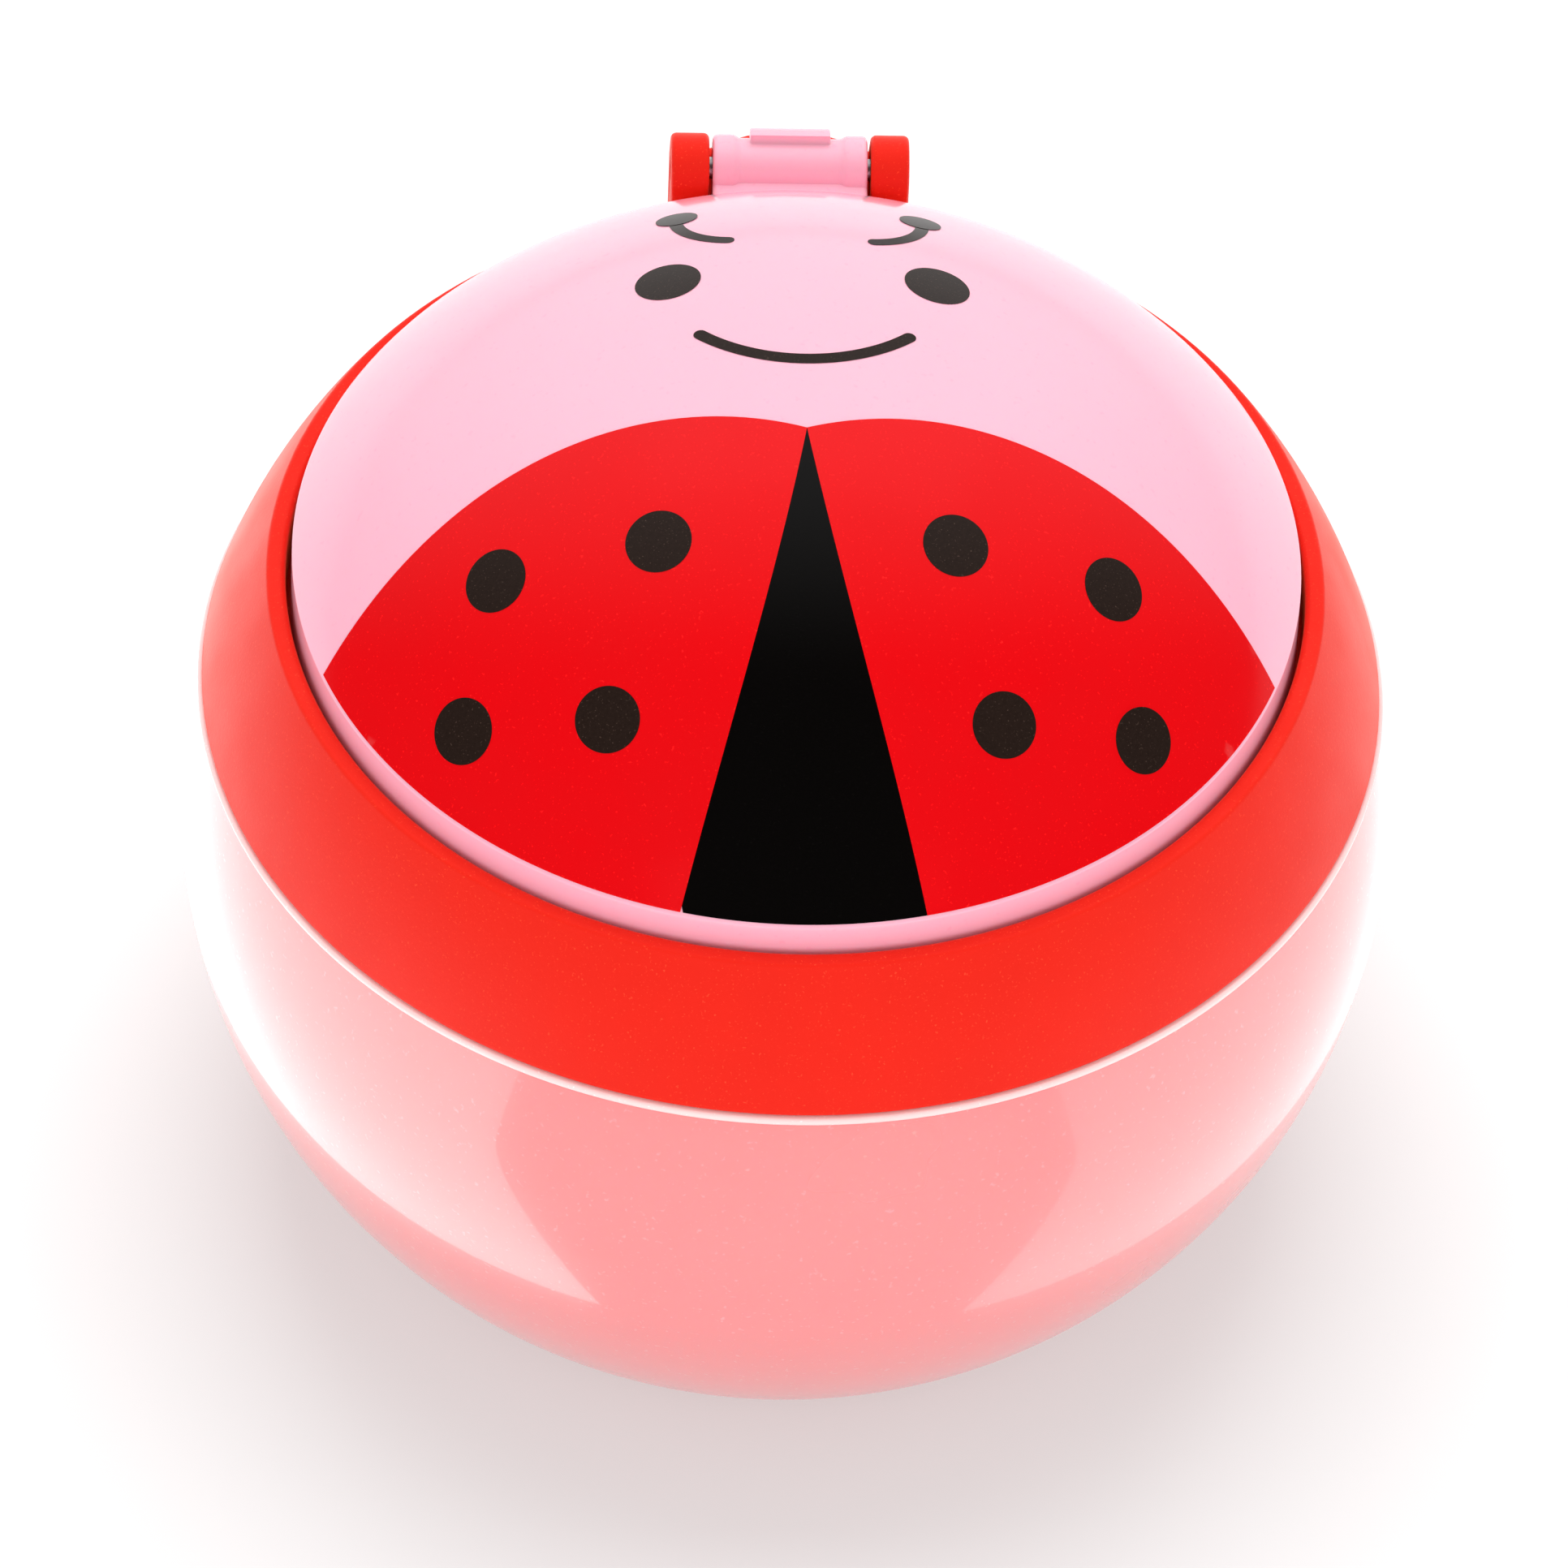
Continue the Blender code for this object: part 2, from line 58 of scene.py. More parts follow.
# Places that the frame fixes.
BOWL_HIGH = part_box("bowl")[1]
COLLAR_LOW, COLLAR_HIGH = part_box("collar")
LID_LOW, LID_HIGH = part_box("lid")
RING_LOW, RING_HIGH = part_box("flap_ring")
FLAP_LOW, FLAP_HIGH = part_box("flap_1")
PIN_LOW, PIN_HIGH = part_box("hinge_pin")
JOINTS = {joint["name"]: joint for joint in frame["joints"]}
HINGE = Vector(JOINTS["lid_hinge"]["pos_m"])

# The ball, and heights where one piece hands over to the next.
BALL_Z = 37.8 * MM
BALL_RADIUS = LID_HIGH.z - BALL_Z
BOWL_RADIUS = BOWL_HIGH.x
BASE_FILLET = 4.0 * MM
SEAM_Z = COLLAR_LOW.z - 0.15 * MM
DECK_TOP = 60.4 * MM
DECK_UNDER = 58.6 * MM
LIP_Z = 65.7 * MM
LID_EDGE_Z = HINGE.z - 0.1 * MM

# Walls of the bowl.
BOWL_WALL = 1.8 * MM
BASE_WALL = 2.2 * MM
INNER_FILLET = 6.0 * MM
RIM_BEAD = 0.70 * MM

# Underside: the mould's gate, a stub set back in a dimple, and a groove that leaves a foot ring.
GATE_STUB = 0.7 * MM
GATE_SET_BACK = 0.2 * MM
GATE_DIMPLE = 2.2 * MM
GATE_DEPTH = 0.5 * MM
FOOT_GROOVE = 30.1 * MM
FOOT_MOUTH = 0.7 * MM
FOOT_FLOOR = 0.4 * MM
FOOT_DEPTH = 0.4 * MM

# Walls of the collar and the lid.
SHOULDER_WALL = 2.2 * MM
NECK_WALL = 1.8 * MM
SKIRT_WALL = 2.0 * MM
LID_WALL = 1.8 * MM

# Collar.
COLLAR_RADIUS = BALL_RADIUS + 0.4 * MM
LID_RADIUS = -LID_LOW.y - 0.1 * MM
LID_INNER = LID_RADIUS - LID_WALL
COLLAR_BORE = LID_RADIUS + 0.5 * MM
RIM_OUTER = LID_INNER - 1.7 * MM
RIM_INNER = RIM_OUTER - 1.4 * MM
RIM_TOP = DECK_TOP + 1.5 * MM
SKIRT_BORE = math.sqrt(COLLAR_RADIUS ** 2 - (DECK_UNDER - BALL_Z) ** 2) - SKIRT_WALL
RIB_HEIGHT = 1.3 * MM
NECK_RADIUS = SKIRT_BORE - RIB_HEIGHT - 0.5 * MM
NECK_INNER = NECK_RADIUS - NECK_WALL
MOUTH_RADIUS = NECK_INNER - 7.8 * MM

# Turn lock.
LOCK_RIBS = 3
RIB_ARC = math.radians(40.0)
RIB_LEAD = 15.0 * MM
RIB_ROOT = 1.4 * MM
RIB_CREST = 0.9 * MM
RIB_SINK = 0.5 * MM
NECK_RIB_RISE = 3.05 * MM
RIB_PLAY = 0.3 * MM

# Hinge.
BARREL_RADIUS = 3.05 * MM
BARREL_HALF = 6.95 * MM
TOUCH_GAP = 0.3 * MM
LUG_INNER = BARREL_HALF + TOUCH_GAP
LUG_OUTER = PIN_HIGH.x + 0.15 * MM
LUG_RADIUS = COLLAR_HIGH.z - HINGE.z
PIN_RADIUS = (PIN_HIGH.z - PIN_LOW.z) / 2.0
BORE_RADIUS = PIN_RADIUS + 0.15 * MM
WEB_BELOW = 1.5 * MM
WEB_ABOVE = 0.8 * MM
TAB_HALF = 3.6 * MM
WAIST_HALF = 5.1 * MM
WAIST_DEPTH = 0.3 * MM
WAIST_RAMP = 0.6 * MM
TAB_RADIUS = BARREL_RADIUS + 0.6 * MM
RELIEF_RADIUS = TAB_RADIUS + TOUCH_GAP
BRIDGE_WALL = 1.4 * MM
BRIDGE_ARCH = 1.9 * MM
BRIDGE_DROP = 0.15 * MM
BLOCK_BACK = HINGE.y + RELIEF_RADIUS + BRIDGE_WALL
BLOCK_DROP = 3.3 * MM
BLOCK_SINK = 0.5 * MM
CORNER_DROP = 1.9 * MM
CORNER_ROUND = 0.8 * MM
BRIDGE_ROUND = 0.4 * MM
FOOT_INSET = 0.45 * MM
UNION_STEP = 0.07 * MM

# Flap insert.
FLAPS = 6
FLAP_BEND = Vector(JOINTS["flap_1_bend"]["pos_m"])
FLAP_REACH = 1.25 * MM
FLAP_SLIT = 0.8 * MM
FLAP_EDGE = 0.58 * MM
FLAP_FIELD = 0.40 * MM
FLAP_BORDER = 1.7 * MM
GROMMET_WALL = 2.0 * MM

# Edge rounding of the moulded pieces.
FAINT = 0.1 * MM
CRISP = 0.3 * MM
SOFT = 0.5 * MM

# Print on the lid: a plain ladybird of round proportions, in shares of the ball's radius, seen
# from above. The wing cases' tip and foot lie on the lid's edge, in these directions.
WING_TIP_TURN = math.radians(-20.0)
WING_FOOT_TURN = math.radians(-76.0)
WING_APEX = Vector((0.0, -0.12))
WING_BELLY = 0.02
WING_SHOULDER = 0.10
BACK_TUCK = 0.006
SPOTS = ((0.24, -0.31, 0.055), (0.50, -0.30, 0.055), (0.32, -0.56, 0.055), (0.55, -0.50, 0.055))
EYE = (0.22, 0.26, 0.055)
FEELER_BALL = (0.20, 0.50, 0.035)
FEELER_ROOT = Vector((0.12, 0.38))
FEELER_BELLY = 0.03
SMILE_END = Vector((0.17, 0.10))
SMILE_LOW = 0.03
SMILE_WIDTH = 1.2 * MM
FEELER_WIDTH = 1.2 * MM
PRINT_MARGIN = 0.15 * MM
INK = 0.02 * MM
INK_STEP = 0.03 * MM
INK_GRID = 1.2 * MM

# Studio: the ball's width as a share of the picture's, and where the camera aims from its middle.
CAMERA_DISTANCE = 2.0
TO_CAMERA = Vector((-0.0340, -0.6870, 0.7260))
TO_RIGHT = Vector((0.9993, -0.0154, 0.0360))
BALL_SHARE = 0.7714
AIM_RIGHT = -0.10 * MM
AIM_UP = 1.01 * MM
FLOOR_REACH = 5.0
BACK_LIGHT = Vector((0.0, 0.80, 0.60))
ROOM = 0.10
ROOM_BACK = 1.3
FLOOR_GLOW = 0.47
TENT_GLOW = 0.90
CARD_GLOW = 1.7
TOP_PLACE, TOP_SIZE, TOP_POWER = (0.05, 0.55, 0.80), (0.9, 0.7), 3.6
FILL_PLACE, FILL_SIZE, FILL_POWER = (0.0, -0.90, 0.35), (0.9, 0.5), 2.4
FLOOR_LAMP_PLACE, FLOOR_LAMP_SIZE, FLOOR_POWER = (0.0, 0.25, 0.90), (0.7, 0.6), 10.0

# Cards on the floor: from and to, in degrees about the cup, and reaches from its axis.
CARD_LEFT = (120.0, 229.0)
CARD_RIGHT = (60.0, -49.0)
CARD_RIGHT_SHARE = 0.45
CARD_NEAR, CARD_KNEE, CARD_FAR = 58.0 * MM, 110.0 * MM, 250.0 * MM
CARD_CURL = 18.0
CARD_LIFT = 0.5 * MM

TURN_STEPS = 192
BALL_STEPS = 44
FILLET_STEPS = 5
BAR_STEPS = 48
ARC_STEPS = 48
SHARP_ANGLE = math.radians(35.0)


# ---------------------------------------------------------------- mesh helpers

def at(ball_radius, height):
    """Radius of a ball at a height above its centre."""
    return math.sqrt(ball_radius ** 2 - height ** 2)


def spaced(start, end, steps):
    """Evenly spaced values, both ends included."""
    return [start + (end - start) * step / steps for step in range(steps + 1)]


def arc(centre, radius, start, end, steps):
    """Points of an arc from one angle to another, both ends included."""
    return [(centre[0] + radius * math.cos(angle), centre[1] + radius * math.sin(angle))
            for angle in spaced(start, end, steps)]


def rounded(corners):
    """Round an outline: a corner is (across, up), or (across, up, radius) where it is rounded."""
    points = []
    count = len(corners)
    for index, corner in enumerate(corners):
        here = Vector(corner[:2])
        if len(corner) == 2:
            points.append(here)
            continue
        before = Vector(corners[index - 1][:2]) - here
        after = Vector(corners[(index + 1) % count][:2]) - here
        half = before.angle(after) / 2.0
        reach = min(corner[2] / math.tan(half), before.length * 0.45, after.length * 0.45)
        radius = reach * math.tan(half)
        before_side = before.normalized()
        after_side = after.normalized()
        centre = here + (before_side + after_side).normalized() * radius / math.sin(half)
        start = (here + before_side * reach - centre).normalized()
        end = (here + after_side * reach - centre).normalized()
        if before.length > 3.0 * reach:
            points.append(here + before_side * reach * 1.35)
        points += [centre + start.slerp(end, step / FILLET_STEPS) * radius
                   for step in range(FILLET_STEPS + 1)]
        if after.length > 3.0 * reach:
            points.append(here + after_side * reach * 1.35)
    return points


def make_object(name, bm):
    """Turn a closed bmesh into a smooth-shaded object at the origin."""
    bmesh.ops.remove_doubles(bm, verts=bm.verts, dist=0.001 * MM)
    bmesh.ops.recalc_face_normals(bm, faces=bm.faces)
    mesh = bpy.data.meshes.new(name)
    bm.to_mesh(mesh)
    bm.free()
    mesh.shade_smooth()
    mesh.set_sharp_from_angle(angle=SHARP_ANGLE)
    obj = bpy.data.objects.new(name, mesh)
    bpy.context.scene.collection.objects.link(obj)
    return obj


def turned(name, outline, closed=True):
    """Turn an outline about Z; an open one starts and ends on the axis, at a pole."""
    bm = bmesh.new()
    turns = [math.tau * step / TURN_STEPS for step in range(TURN_STEPS)]
    rings = []
    for radius, height in outline:
        if radius < 0.001 * MM:
            rings.append([bm.verts.new((0.0, 0.0, height))] * TURN_STEPS)
        else:
            rings.append([bm.verts.new((radius * math.cos(turn), radius * math.sin(turn), height))
                          for turn in turns])
    pairs = list(zip(rings, rings[1:]))
    if closed:
        pairs.append((rings[-1], rings[0]))
    for near, far in pairs:
        for i in range(TURN_STEPS):
            j = (i + 1) % TURN_STEPS
            corners = list(dict.fromkeys((near[i], near[j], far[j], far[i])))
            bm.faces.new(corners)
    return make_object(name, bm)


def lofted(name, sections):
    """Close a row of matching outlines into one body."""
    bm = bmesh.new()
    rings = [[bm.verts.new(point) for point in section] for section in sections]
    count = len(sections[0])
    for near, far in zip(rings, rings[1:]):
        for i in range(count):
            j = (i + 1) % count
            bm.faces.new((near[i], near[j], far[j], far[i]))
    bm.faces.new(rings[0])
    bm.faces.new(rings[-1])
    return make_object(name, bm)


def inset(outline, depth):
    """Move an outline's points inwards, square to its sides."""
    points = [Vector(point) for point in outline]
    area = sum(a.x * b.y - b.x * a.y for a, b in zip(points, points[1:] + points[:1]))
    turn = math.copysign(1.0, area)
    moved = []
    for index, here in enumerate(points):
        ahead = (points[(index + 1) % len(points)] - here).normalized()
        back = (here - points[index - 1]).normalized()
        inward = Vector((-(ahead.y + back.y), ahead.x + back.x)).normalized() * turn
        half_turn = max(0.5, math.sqrt(max(0.0, (1.0 + ahead.dot(back)) / 2.0)))
        moved.append(here + inward * depth / half_turn)
    return moved


def bar(name, outline_at, start, end, rounding):
    """A body along X with rounded ends, from a function that gives its (y, z) outline at x."""
    quarter = spaced(0.0, math.pi / 2.0, FILLET_STEPS)
    stations = [(start + rounding * (1.0 - math.sin(a)), rounding * (1.0 - math.cos(a)))
                for a in reversed(quarter)]
    middle = spaced(start + rounding, end - rounding, BAR_STEPS)[1:-1]
    stations += [(x, 0.0) for x in middle]
    stations += [(end - rounding * (1.0 - math.sin(a)), rounding * (1.0 - math.cos(a)))
                 for a in quarter]
    sections = [[(x, y, z) for y, z in inset(outline_at(x), depth)] for x, depth in stations]
    return lofted(name, sections)


def carve(obj, tool, operation):
    """Join a tool to an object, or cut it away, for good."""
    modifier = obj.modifiers.new("carve", "BOOLEAN")
    modifier.object = tool
    modifier.operation = operation
    modifier.solver = "EXACT"
    make_real(obj)
    bpy.data.objects.remove(tool)


def make_real(obj):
    """Swap an object's mesh for what its modifiers make of it, and take them off."""
    depsgraph = bpy.context.evaluated_depsgraph_get()
    mesh = bpy.data.meshes.new_from_object(obj.evaluated_get(depsgraph), depsgraph=depsgraph)
    obj.modifiers.clear()
    obj.data = mesh


def place(obj, body, stands_for=None, material=None):
    """Give a finished piece its material, its body and what it stands for."""
    if material:
        obj.data.materials.clear()
        obj.data.materials.append(material)
    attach(obj, body)
    if stands_for:
        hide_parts(stands_for)
    return obj


# ---------------------------------------------------------------- materials

def colour(code):
    """Linear colour of an sRGB hex code."""
    parts = [int(code[i:i + 2], 16) / 255.0 for i in (1, 3, 5)]
    linear = [c / 12.92 if c <= 0.04045 else ((c + 0.055) / 1.055) ** 2.4 for c in parts]
    return (*linear, 1.0)


def add_node(tree, kind, settings=None, **inputs):
    """Add a node; an input takes a value or the socket that feeds it, and _ stands for a space."""
    node = tree.nodes.new(kind)
    for key, value in (settings or {}).items():
        setattr(node, key, value)
    for key, value in inputs.items():
        socket = node.inputs[int(key[1:]) if key[1:].isdigit() else key.replace("_", " ")]
        if isinstance(value, bpy.types.NodeSocket):
            tree.links.new(value, socket)
        else:
            socket.default_value = value
    return node


def plastic(name, base, patch, patch_size, speck, speck_size, shine, shine_change, grain_size,
            grain_depth, **sockets):
    """A surface of two close colours in soft patches with fine specks, uneven gloss and grain."""
    material = bpy.data.materials.new(name)
    material.use_nodes = True
    tree = material.node_tree
    shader = tree.nodes["Principled BSDF"]
    place_of = add_node(tree, "ShaderNodeTexCoord").outputs["Object"]
    patches = add_node(tree, "ShaderNodeTexNoise", Vector=place_of, Scale=1.0 / patch_size,
                       Detail=3.0, Roughness=0.55)
    blend = add_node(tree, "ShaderNodeMix", {"data_type": "RGBA"}, Factor=patches.outputs["Fac"],
                     _6=colour(base), _7=colour(patch))
    dust = add_node(tree, "ShaderNodeTexNoise", Vector=place_of, Scale=1.0 / speck_size,
                    Detail=1.0, Roughness=0.5)
    sparse = add_node(tree, "ShaderNodeMapRange", Value=dust.outputs["Fac"], From_Min=0.66,
                      From_Max=0.78)
    tint = add_node(tree, "ShaderNodeMix", {"data_type": "RGBA"}, Factor=sparse.outputs["Result"],
                    _6=blend.outputs[2], _7=colour(speck))
    gloss = add_node(tree, "ShaderNodeMapRange", Value=patches.outputs["Fac"], From_Min=0.3,
                     From_Max=0.7, To_Min=shine, To_Max=shine + shine_change)
    grain = add_node(tree, "ShaderNodeTexNoise", Vector=place_of, Scale=1.0 / grain_size,
                     Detail=2.0, Roughness=0.6)
    bump = add_node(tree, "ShaderNodeBump", Strength=1.0, Distance=grain_depth,
                    Height=grain.outputs["Fac"])
    tree.links.new(tint.outputs[2], shader.inputs["Base Color"])
    tree.links.new(gloss.outputs["Result"], shader.inputs["Roughness"])
    tree.links.new(bump.outputs["Normal"], shader.inputs["Normal"])
    for key, value in sockets.items():
        shader.inputs[key.replace("_", " ")].default_value = value
    return material


# ---------------------------------------------------------------- bowl

def bowl_outline():
    """Underside, ball wall, shoulder, neck and the inside, from pole to pole."""
    base_height = -BALL_Z
    base_centre = (at(BOWL_RADIUS - BASE_FILLET, base_height + BASE_FILLET),
                   BASE_FILLET)
    base_angle = math.atan2(base_centre[1] - BALL_Z, base_centre[0])
    seam_angle = math.asin((SEAM_Z - BALL_Z) / BOWL_RADIUS)
    inner = BOWL_RADIUS - BOWL_WALL
    floor_centre = (at(inner - INNER_FILLET, base_height + BASE_WALL + INNER_FILLET),
                    BASE_WALL + INNER_FILLET)
    floor_angle = math.atan2(floor_centre[1] - BALL_Z, floor_centre[0])
    ceiling = SEAM_Z - SHOULDER_WALL
    ceiling_angle = math.asin((ceiling - SHOULDER_WALL / 2.0 - BALL_Z) / inner)

    outline = [(0.0, GATE_SET_BACK), (GATE_STUB, GATE_SET_BACK, FAINT),
               (GATE_STUB + GATE_SET_BACK, GATE_DEPTH), (GATE_DIMPLE, GATE_DEPTH),
               (GATE_DIMPLE + GATE_DEPTH, 0.0, 1.5 * FAINT)]
    outline += [(FOOT_GROOVE - FOOT_MOUTH, 0.0, FAINT), (FOOT_GROOVE - FOOT_FLOOR, FOOT_DEPTH, FAINT),
                (FOOT_GROOVE + FOOT_FLOOR, FOOT_DEPTH, FAINT), (FOOT_GROOVE + FOOT_MOUTH, 0.0, FAINT)]
    outline += arc(base_centre, BASE_FILLET, -math.pi / 2.0, base_angle, 10)
    outline += arc((0.0, BALL_Z), BOWL_RADIUS, base_angle, seam_angle, BALL_STEPS)[1:-1]
    outline += [(at(BOWL_RADIUS, SEAM_Z - BALL_Z), SEAM_Z, SOFT),
                (NECK_RADIUS, SEAM_Z, SOFT),
                (NECK_RADIUS, BOWL_HIGH.z, SOFT),
                (NECK_INNER, BOWL_HIGH.z, SOFT),
                (NECK_INNER, SEAM_Z - SHOULDER_WALL / 2.0, SOFT),
                (NECK_INNER + SHOULDER_WALL / 2.0, ceiling, SOFT),
                (at(inner, ceiling - BALL_Z) - SHOULDER_WALL / 4.0, ceiling, SOFT)]
    outline += arc((0.0, BALL_Z), inner, ceiling_angle, floor_angle, BALL_STEPS)
    outline += arc(floor_centre, INNER_FILLET, floor_angle, -math.pi / 2.0, 10)[1:]
    outline.append((0.0, BASE_WALL))
    return rounded(outline)


def build_bowl(material, highlight_edge_material):
    """Bowl with its neck, the neck's lock ribs and the edge that shows under the collar, whose pale
    colour is a painted highlight.
    """
    bowl = turned("bowl_shell", bowl_outline(), closed=False)
    place(bowl, "bowl", "bowl", material)
    wall = at(BOWL_RADIUS, SEAM_Z - BALL_Z)
    corners = [(wall - SOFT, SEAM_Z - RIM_BEAD), (wall + RIM_BEAD, SEAM_Z - RIM_BEAD, CRISP),
               (wall + RIM_BEAD, SEAM_Z, CRISP), (wall - SOFT, SEAM_Z)]
    # The edge's pale material is a painted highlight along the bowl's rounded top edge.
    edge = turned("bowl_rim_edge", rounded(corners))
    place(edge, "bowl", material=highlight_edge_material)
    ribs = lock_ribs("neck_lock_ribs", NECK_RADIUS - RIB_SINK, NECK_RADIUS + RIB_HEIGHT,
                     SEAM_Z + NECK_RIB_RISE, material)
    place(ribs, "bowl")


# ---------------------------------------------------------------- geometry node trees

def new_tree(name, sizes):
    """A geometry tree with a geometry input, named sizes, and Realize and Set Material at its end."""
    tree = bpy.data.node_groups.new(name, "GeometryNodeTree")
    tree.interface.new_socket("Geometry", in_out="INPUT", socket_type="NodeSocketGeometry")
    for size_name, kind in sizes:
        tree.interface.new_socket(size_name, in_out="INPUT", socket_type="NodeSocket" + kind)
    tree.interface.new_socket("Material", in_out="INPUT", socket_type="NodeSocketMaterial")
    tree.interface.new_socket("Geometry", in_out="OUTPUT", socket_type="NodeSocketGeometry")
    return tree, add_node(tree, "NodeGroupInput").outputs


def end_tree(tree, geometry_socket, given):
    """Finish a tree so that it hands on plain geometry in its own material."""
    real = add_node(tree, "GeometryNodeRealizeInstances", Geometry=geometry_socket)
    shown = add_node(tree, "GeometryNodeSetMaterial", Geometry=real.outputs[0],
                     Material=given["Material"])
    add_node(tree, "NodeGroupOutput", Geometry=shown.outputs[0])


def run_tree(obj, tree, values):
    """Feed a tree its values by socket identifier, and keep the result as a plain mesh."""
    modifier = obj.modifiers.new(tree.name, "NODES")
    modifier.node_group = tree
    for item in tree.interface.items_tree:
        if item.in_out == "INPUT" and item.name in values:
            modifier[item.identifier] = values[item.name]
    make_real(obj)
    obj.data.shade_smooth()
    obj.data.set_sharp_from_angle(angle=SHARP_ANGLE)
    return obj


def rib_tree():
    """Evenly spaced helical ribs of a trapezoid section."""
    tree, given = new_tree("helical_ribs", (("Count", "Int"), ("Arc", "Float"), ("Lead", "Float"),
                                            ("Middle Radius", "Float"), ("Height", "Float"),
                                            ("Wide Side", "Float"), ("Narrow Side", "Float"),
                                            ("Start", "Float")))
    share = add_node(tree, "ShaderNodeMath", {"operation": "DIVIDE"}, _0=given["Arc"],
                     _1=math.tau)
    rise = add_node(tree, "ShaderNodeMath", {"operation": "MULTIPLY"}, _0=share.outputs[0],
                    _1=given["Lead"])
    path = add_node(tree, "GeometryNodeCurveSpiral", Resolution=160,
                    Rotations=share.outputs[0], Start_Radius=given["Middle Radius"],
                    End_Radius=given["Middle Radius"], Height=rise.outputs[0])
    upright = add_node(tree, "GeometryNodeSetCurveNormal", {"mode": "Z_UP"},
                       Curve=path.outputs[0])
    section = add_node(tree, "GeometryNodeCurvePrimitiveQuadrilateral", {"mode": "TRAPEZOID"},
                       Height=given["Height"], Bottom_Width=given["Wide Side"],
                       Top_Width=given["Narrow Side"], Offset=0.0)
    rib = add_node(tree, "GeometryNodeCurveToMesh", Curve=upright.outputs[0],
                   Profile_Curve=section.outputs[0], Fill_Caps=True)
    points = add_node(tree, "GeometryNodeMeshLine", Count=given["Count"])
    step = add_node(tree, "ShaderNodeMath", {"operation": "DIVIDE"}, _0=math.tau,
                    _1=given["Count"])
    turn = add_node(tree, "ShaderNodeMath", {"operation": "MULTIPLY"}, _1=step.outputs[0],
                    _0=add_node(tree, "GeometryNodeInputIndex").outputs[0])
    turned_by = add_node(tree, "ShaderNodeCombineXYZ", Z=turn.outputs[0])
    lift = add_node(tree, "ShaderNodeCombineXYZ", Z=given["Start"])
    level = add_node(tree, "GeometryNodeSetPosition", Geometry=points.outputs[0],
                     Position=lift.outputs[0])
    ribs = add_node(tree, "GeometryNodeInstanceOnPoints", Points=level.outputs[0],
                    Instance=rib.outputs[0], Rotation=turned_by.outputs[0])
    end_tree(tree, ribs.outputs[0], given)
    return tree


def lock_ribs(name, inner_radius, outer_radius, start, material):
    """The turn lock's ribs; the wider foot is on the wall that they stand on."""
    seed = bpy.data.objects.new(name, bpy.data.meshes.new(name))
    bpy.context.scene.collection.objects.link(seed)
    outwards = inner_radius < NECK_RADIUS
    run_tree(seed, TREES["ribs"], {
        "Count": LOCK_RIBS, "Arc": RIB_ARC, "Lead": RIB_LEAD, "Start": start,
        "Middle Radius": (inner_radius + outer_radius) / 2.0,
        "Height": outer_radius - inner_radius,
        "Wide Side": RIB_ROOT if outwards else RIB_CREST,
        "Narrow Side": RIB_CREST if outwards else RIB_ROOT,
        "Material": material})
    return seed


def disc_tree():
    """Round ink films on the dome: one disc for each point, as large as the point's size says."""
    tree, given = new_tree("dome_discs", (("Ball Centre", "Vector"), ("Film Radius", "Float"),
                                          ("Film Thickness", "Float")))
    disc = add_node(tree, "GeometryNodeMeshCircle", {"fill_type": "TRIANGLE_FAN"}, Vertices=72,
                    Radius=1.0)
    fine = add_node(tree, "GeometryNodeSubdivideMesh", Mesh=disc.outputs[0], Level=2)
    out = add_node(tree, "ShaderNodeVectorMath", {"operation": "SUBTRACT"},
                   _0=add_node(tree, "GeometryNodeInputPosition").outputs[0],
                   _1=given["Ball Centre"])
    facing = add_node(tree, "FunctionNodeAlignRotationToVector", {"axis": "Z"},
                      Vector=out.outputs[0])
    size = add_node(tree, "GeometryNodeInputNamedAttribute", {"data_type": "FLOAT"},
                    Name="disc_radius")
    discs = add_node(tree, "GeometryNodeInstanceOnPoints", Points=given["Geometry"],
                     Instance=fine.outputs[0], Rotation=facing.outputs[0],
                     Scale=size.outputs["Attribute"])
    loose = add_node(tree, "GeometryNodeRealizeInstances", Geometry=discs.outputs[0])
    # The same arm from the ball's centre, now taken to each of the discs' own vertices.
    unit = add_node(tree, "ShaderNodeVectorMath", {"operation": "NORMALIZE"}, _0=out.outputs[0])
    long_arm = add_node(tree, "ShaderNodeVectorMath", {"operation": "SCALE"}, _0=unit.outputs[0],
                        Scale=given["Film Radius"])
    on_dome = add_node(tree, "ShaderNodeVectorMath", {"operation": "ADD"}, _0=long_arm.outputs[0],
                       _1=given["Ball Centre"])
    film = add_node(tree, "GeometryNodeSetPosition", Geometry=loose.outputs[0],
                    Position=on_dome.outputs[0])
    raised = add_node(tree, "GeometryNodeExtrudeMesh", Mesh=film.outputs[0], Individual=False,
                      Offset_Scale=given["Film Thickness"])
    under = add_node(tree, "GeometryNodeFlipFaces", Mesh=film.outputs[0])
    both = add_node(tree, "GeometryNodeJoinGeometry")
    tree.links.new(raised.outputs[0], both.inputs[0])
    tree.links.new(under.outputs[0], both.inputs[0])
    closed = add_node(tree, "GeometryNodeMergeByDistance", Geometry=both.outputs[0],
                      Distance=0.0005 * MM)
    end_tree(tree, closed.outputs[0], given)
    return tree


# ---------------------------------------------------------------- collar

def foot_points(x, sink):
    """The hinge's foot inside the collar's wall: front, inner and rear points."""
    rear_z = DECK_UNDER - BLOCK_DROP
    rear_radius = at(COLLAR_RADIUS, rear_z - BALL_Z) - BLOCK_SINK - sink
    return [(HINGE.y - LUG_RADIUS + sink, DECK_TOP - FOOT_INSET),
            (at(SKIRT_BORE + BLOCK_SINK, x), DECK_UNDER + FOOT_INSET),
            (at(rear_radius, x), rear_z)]


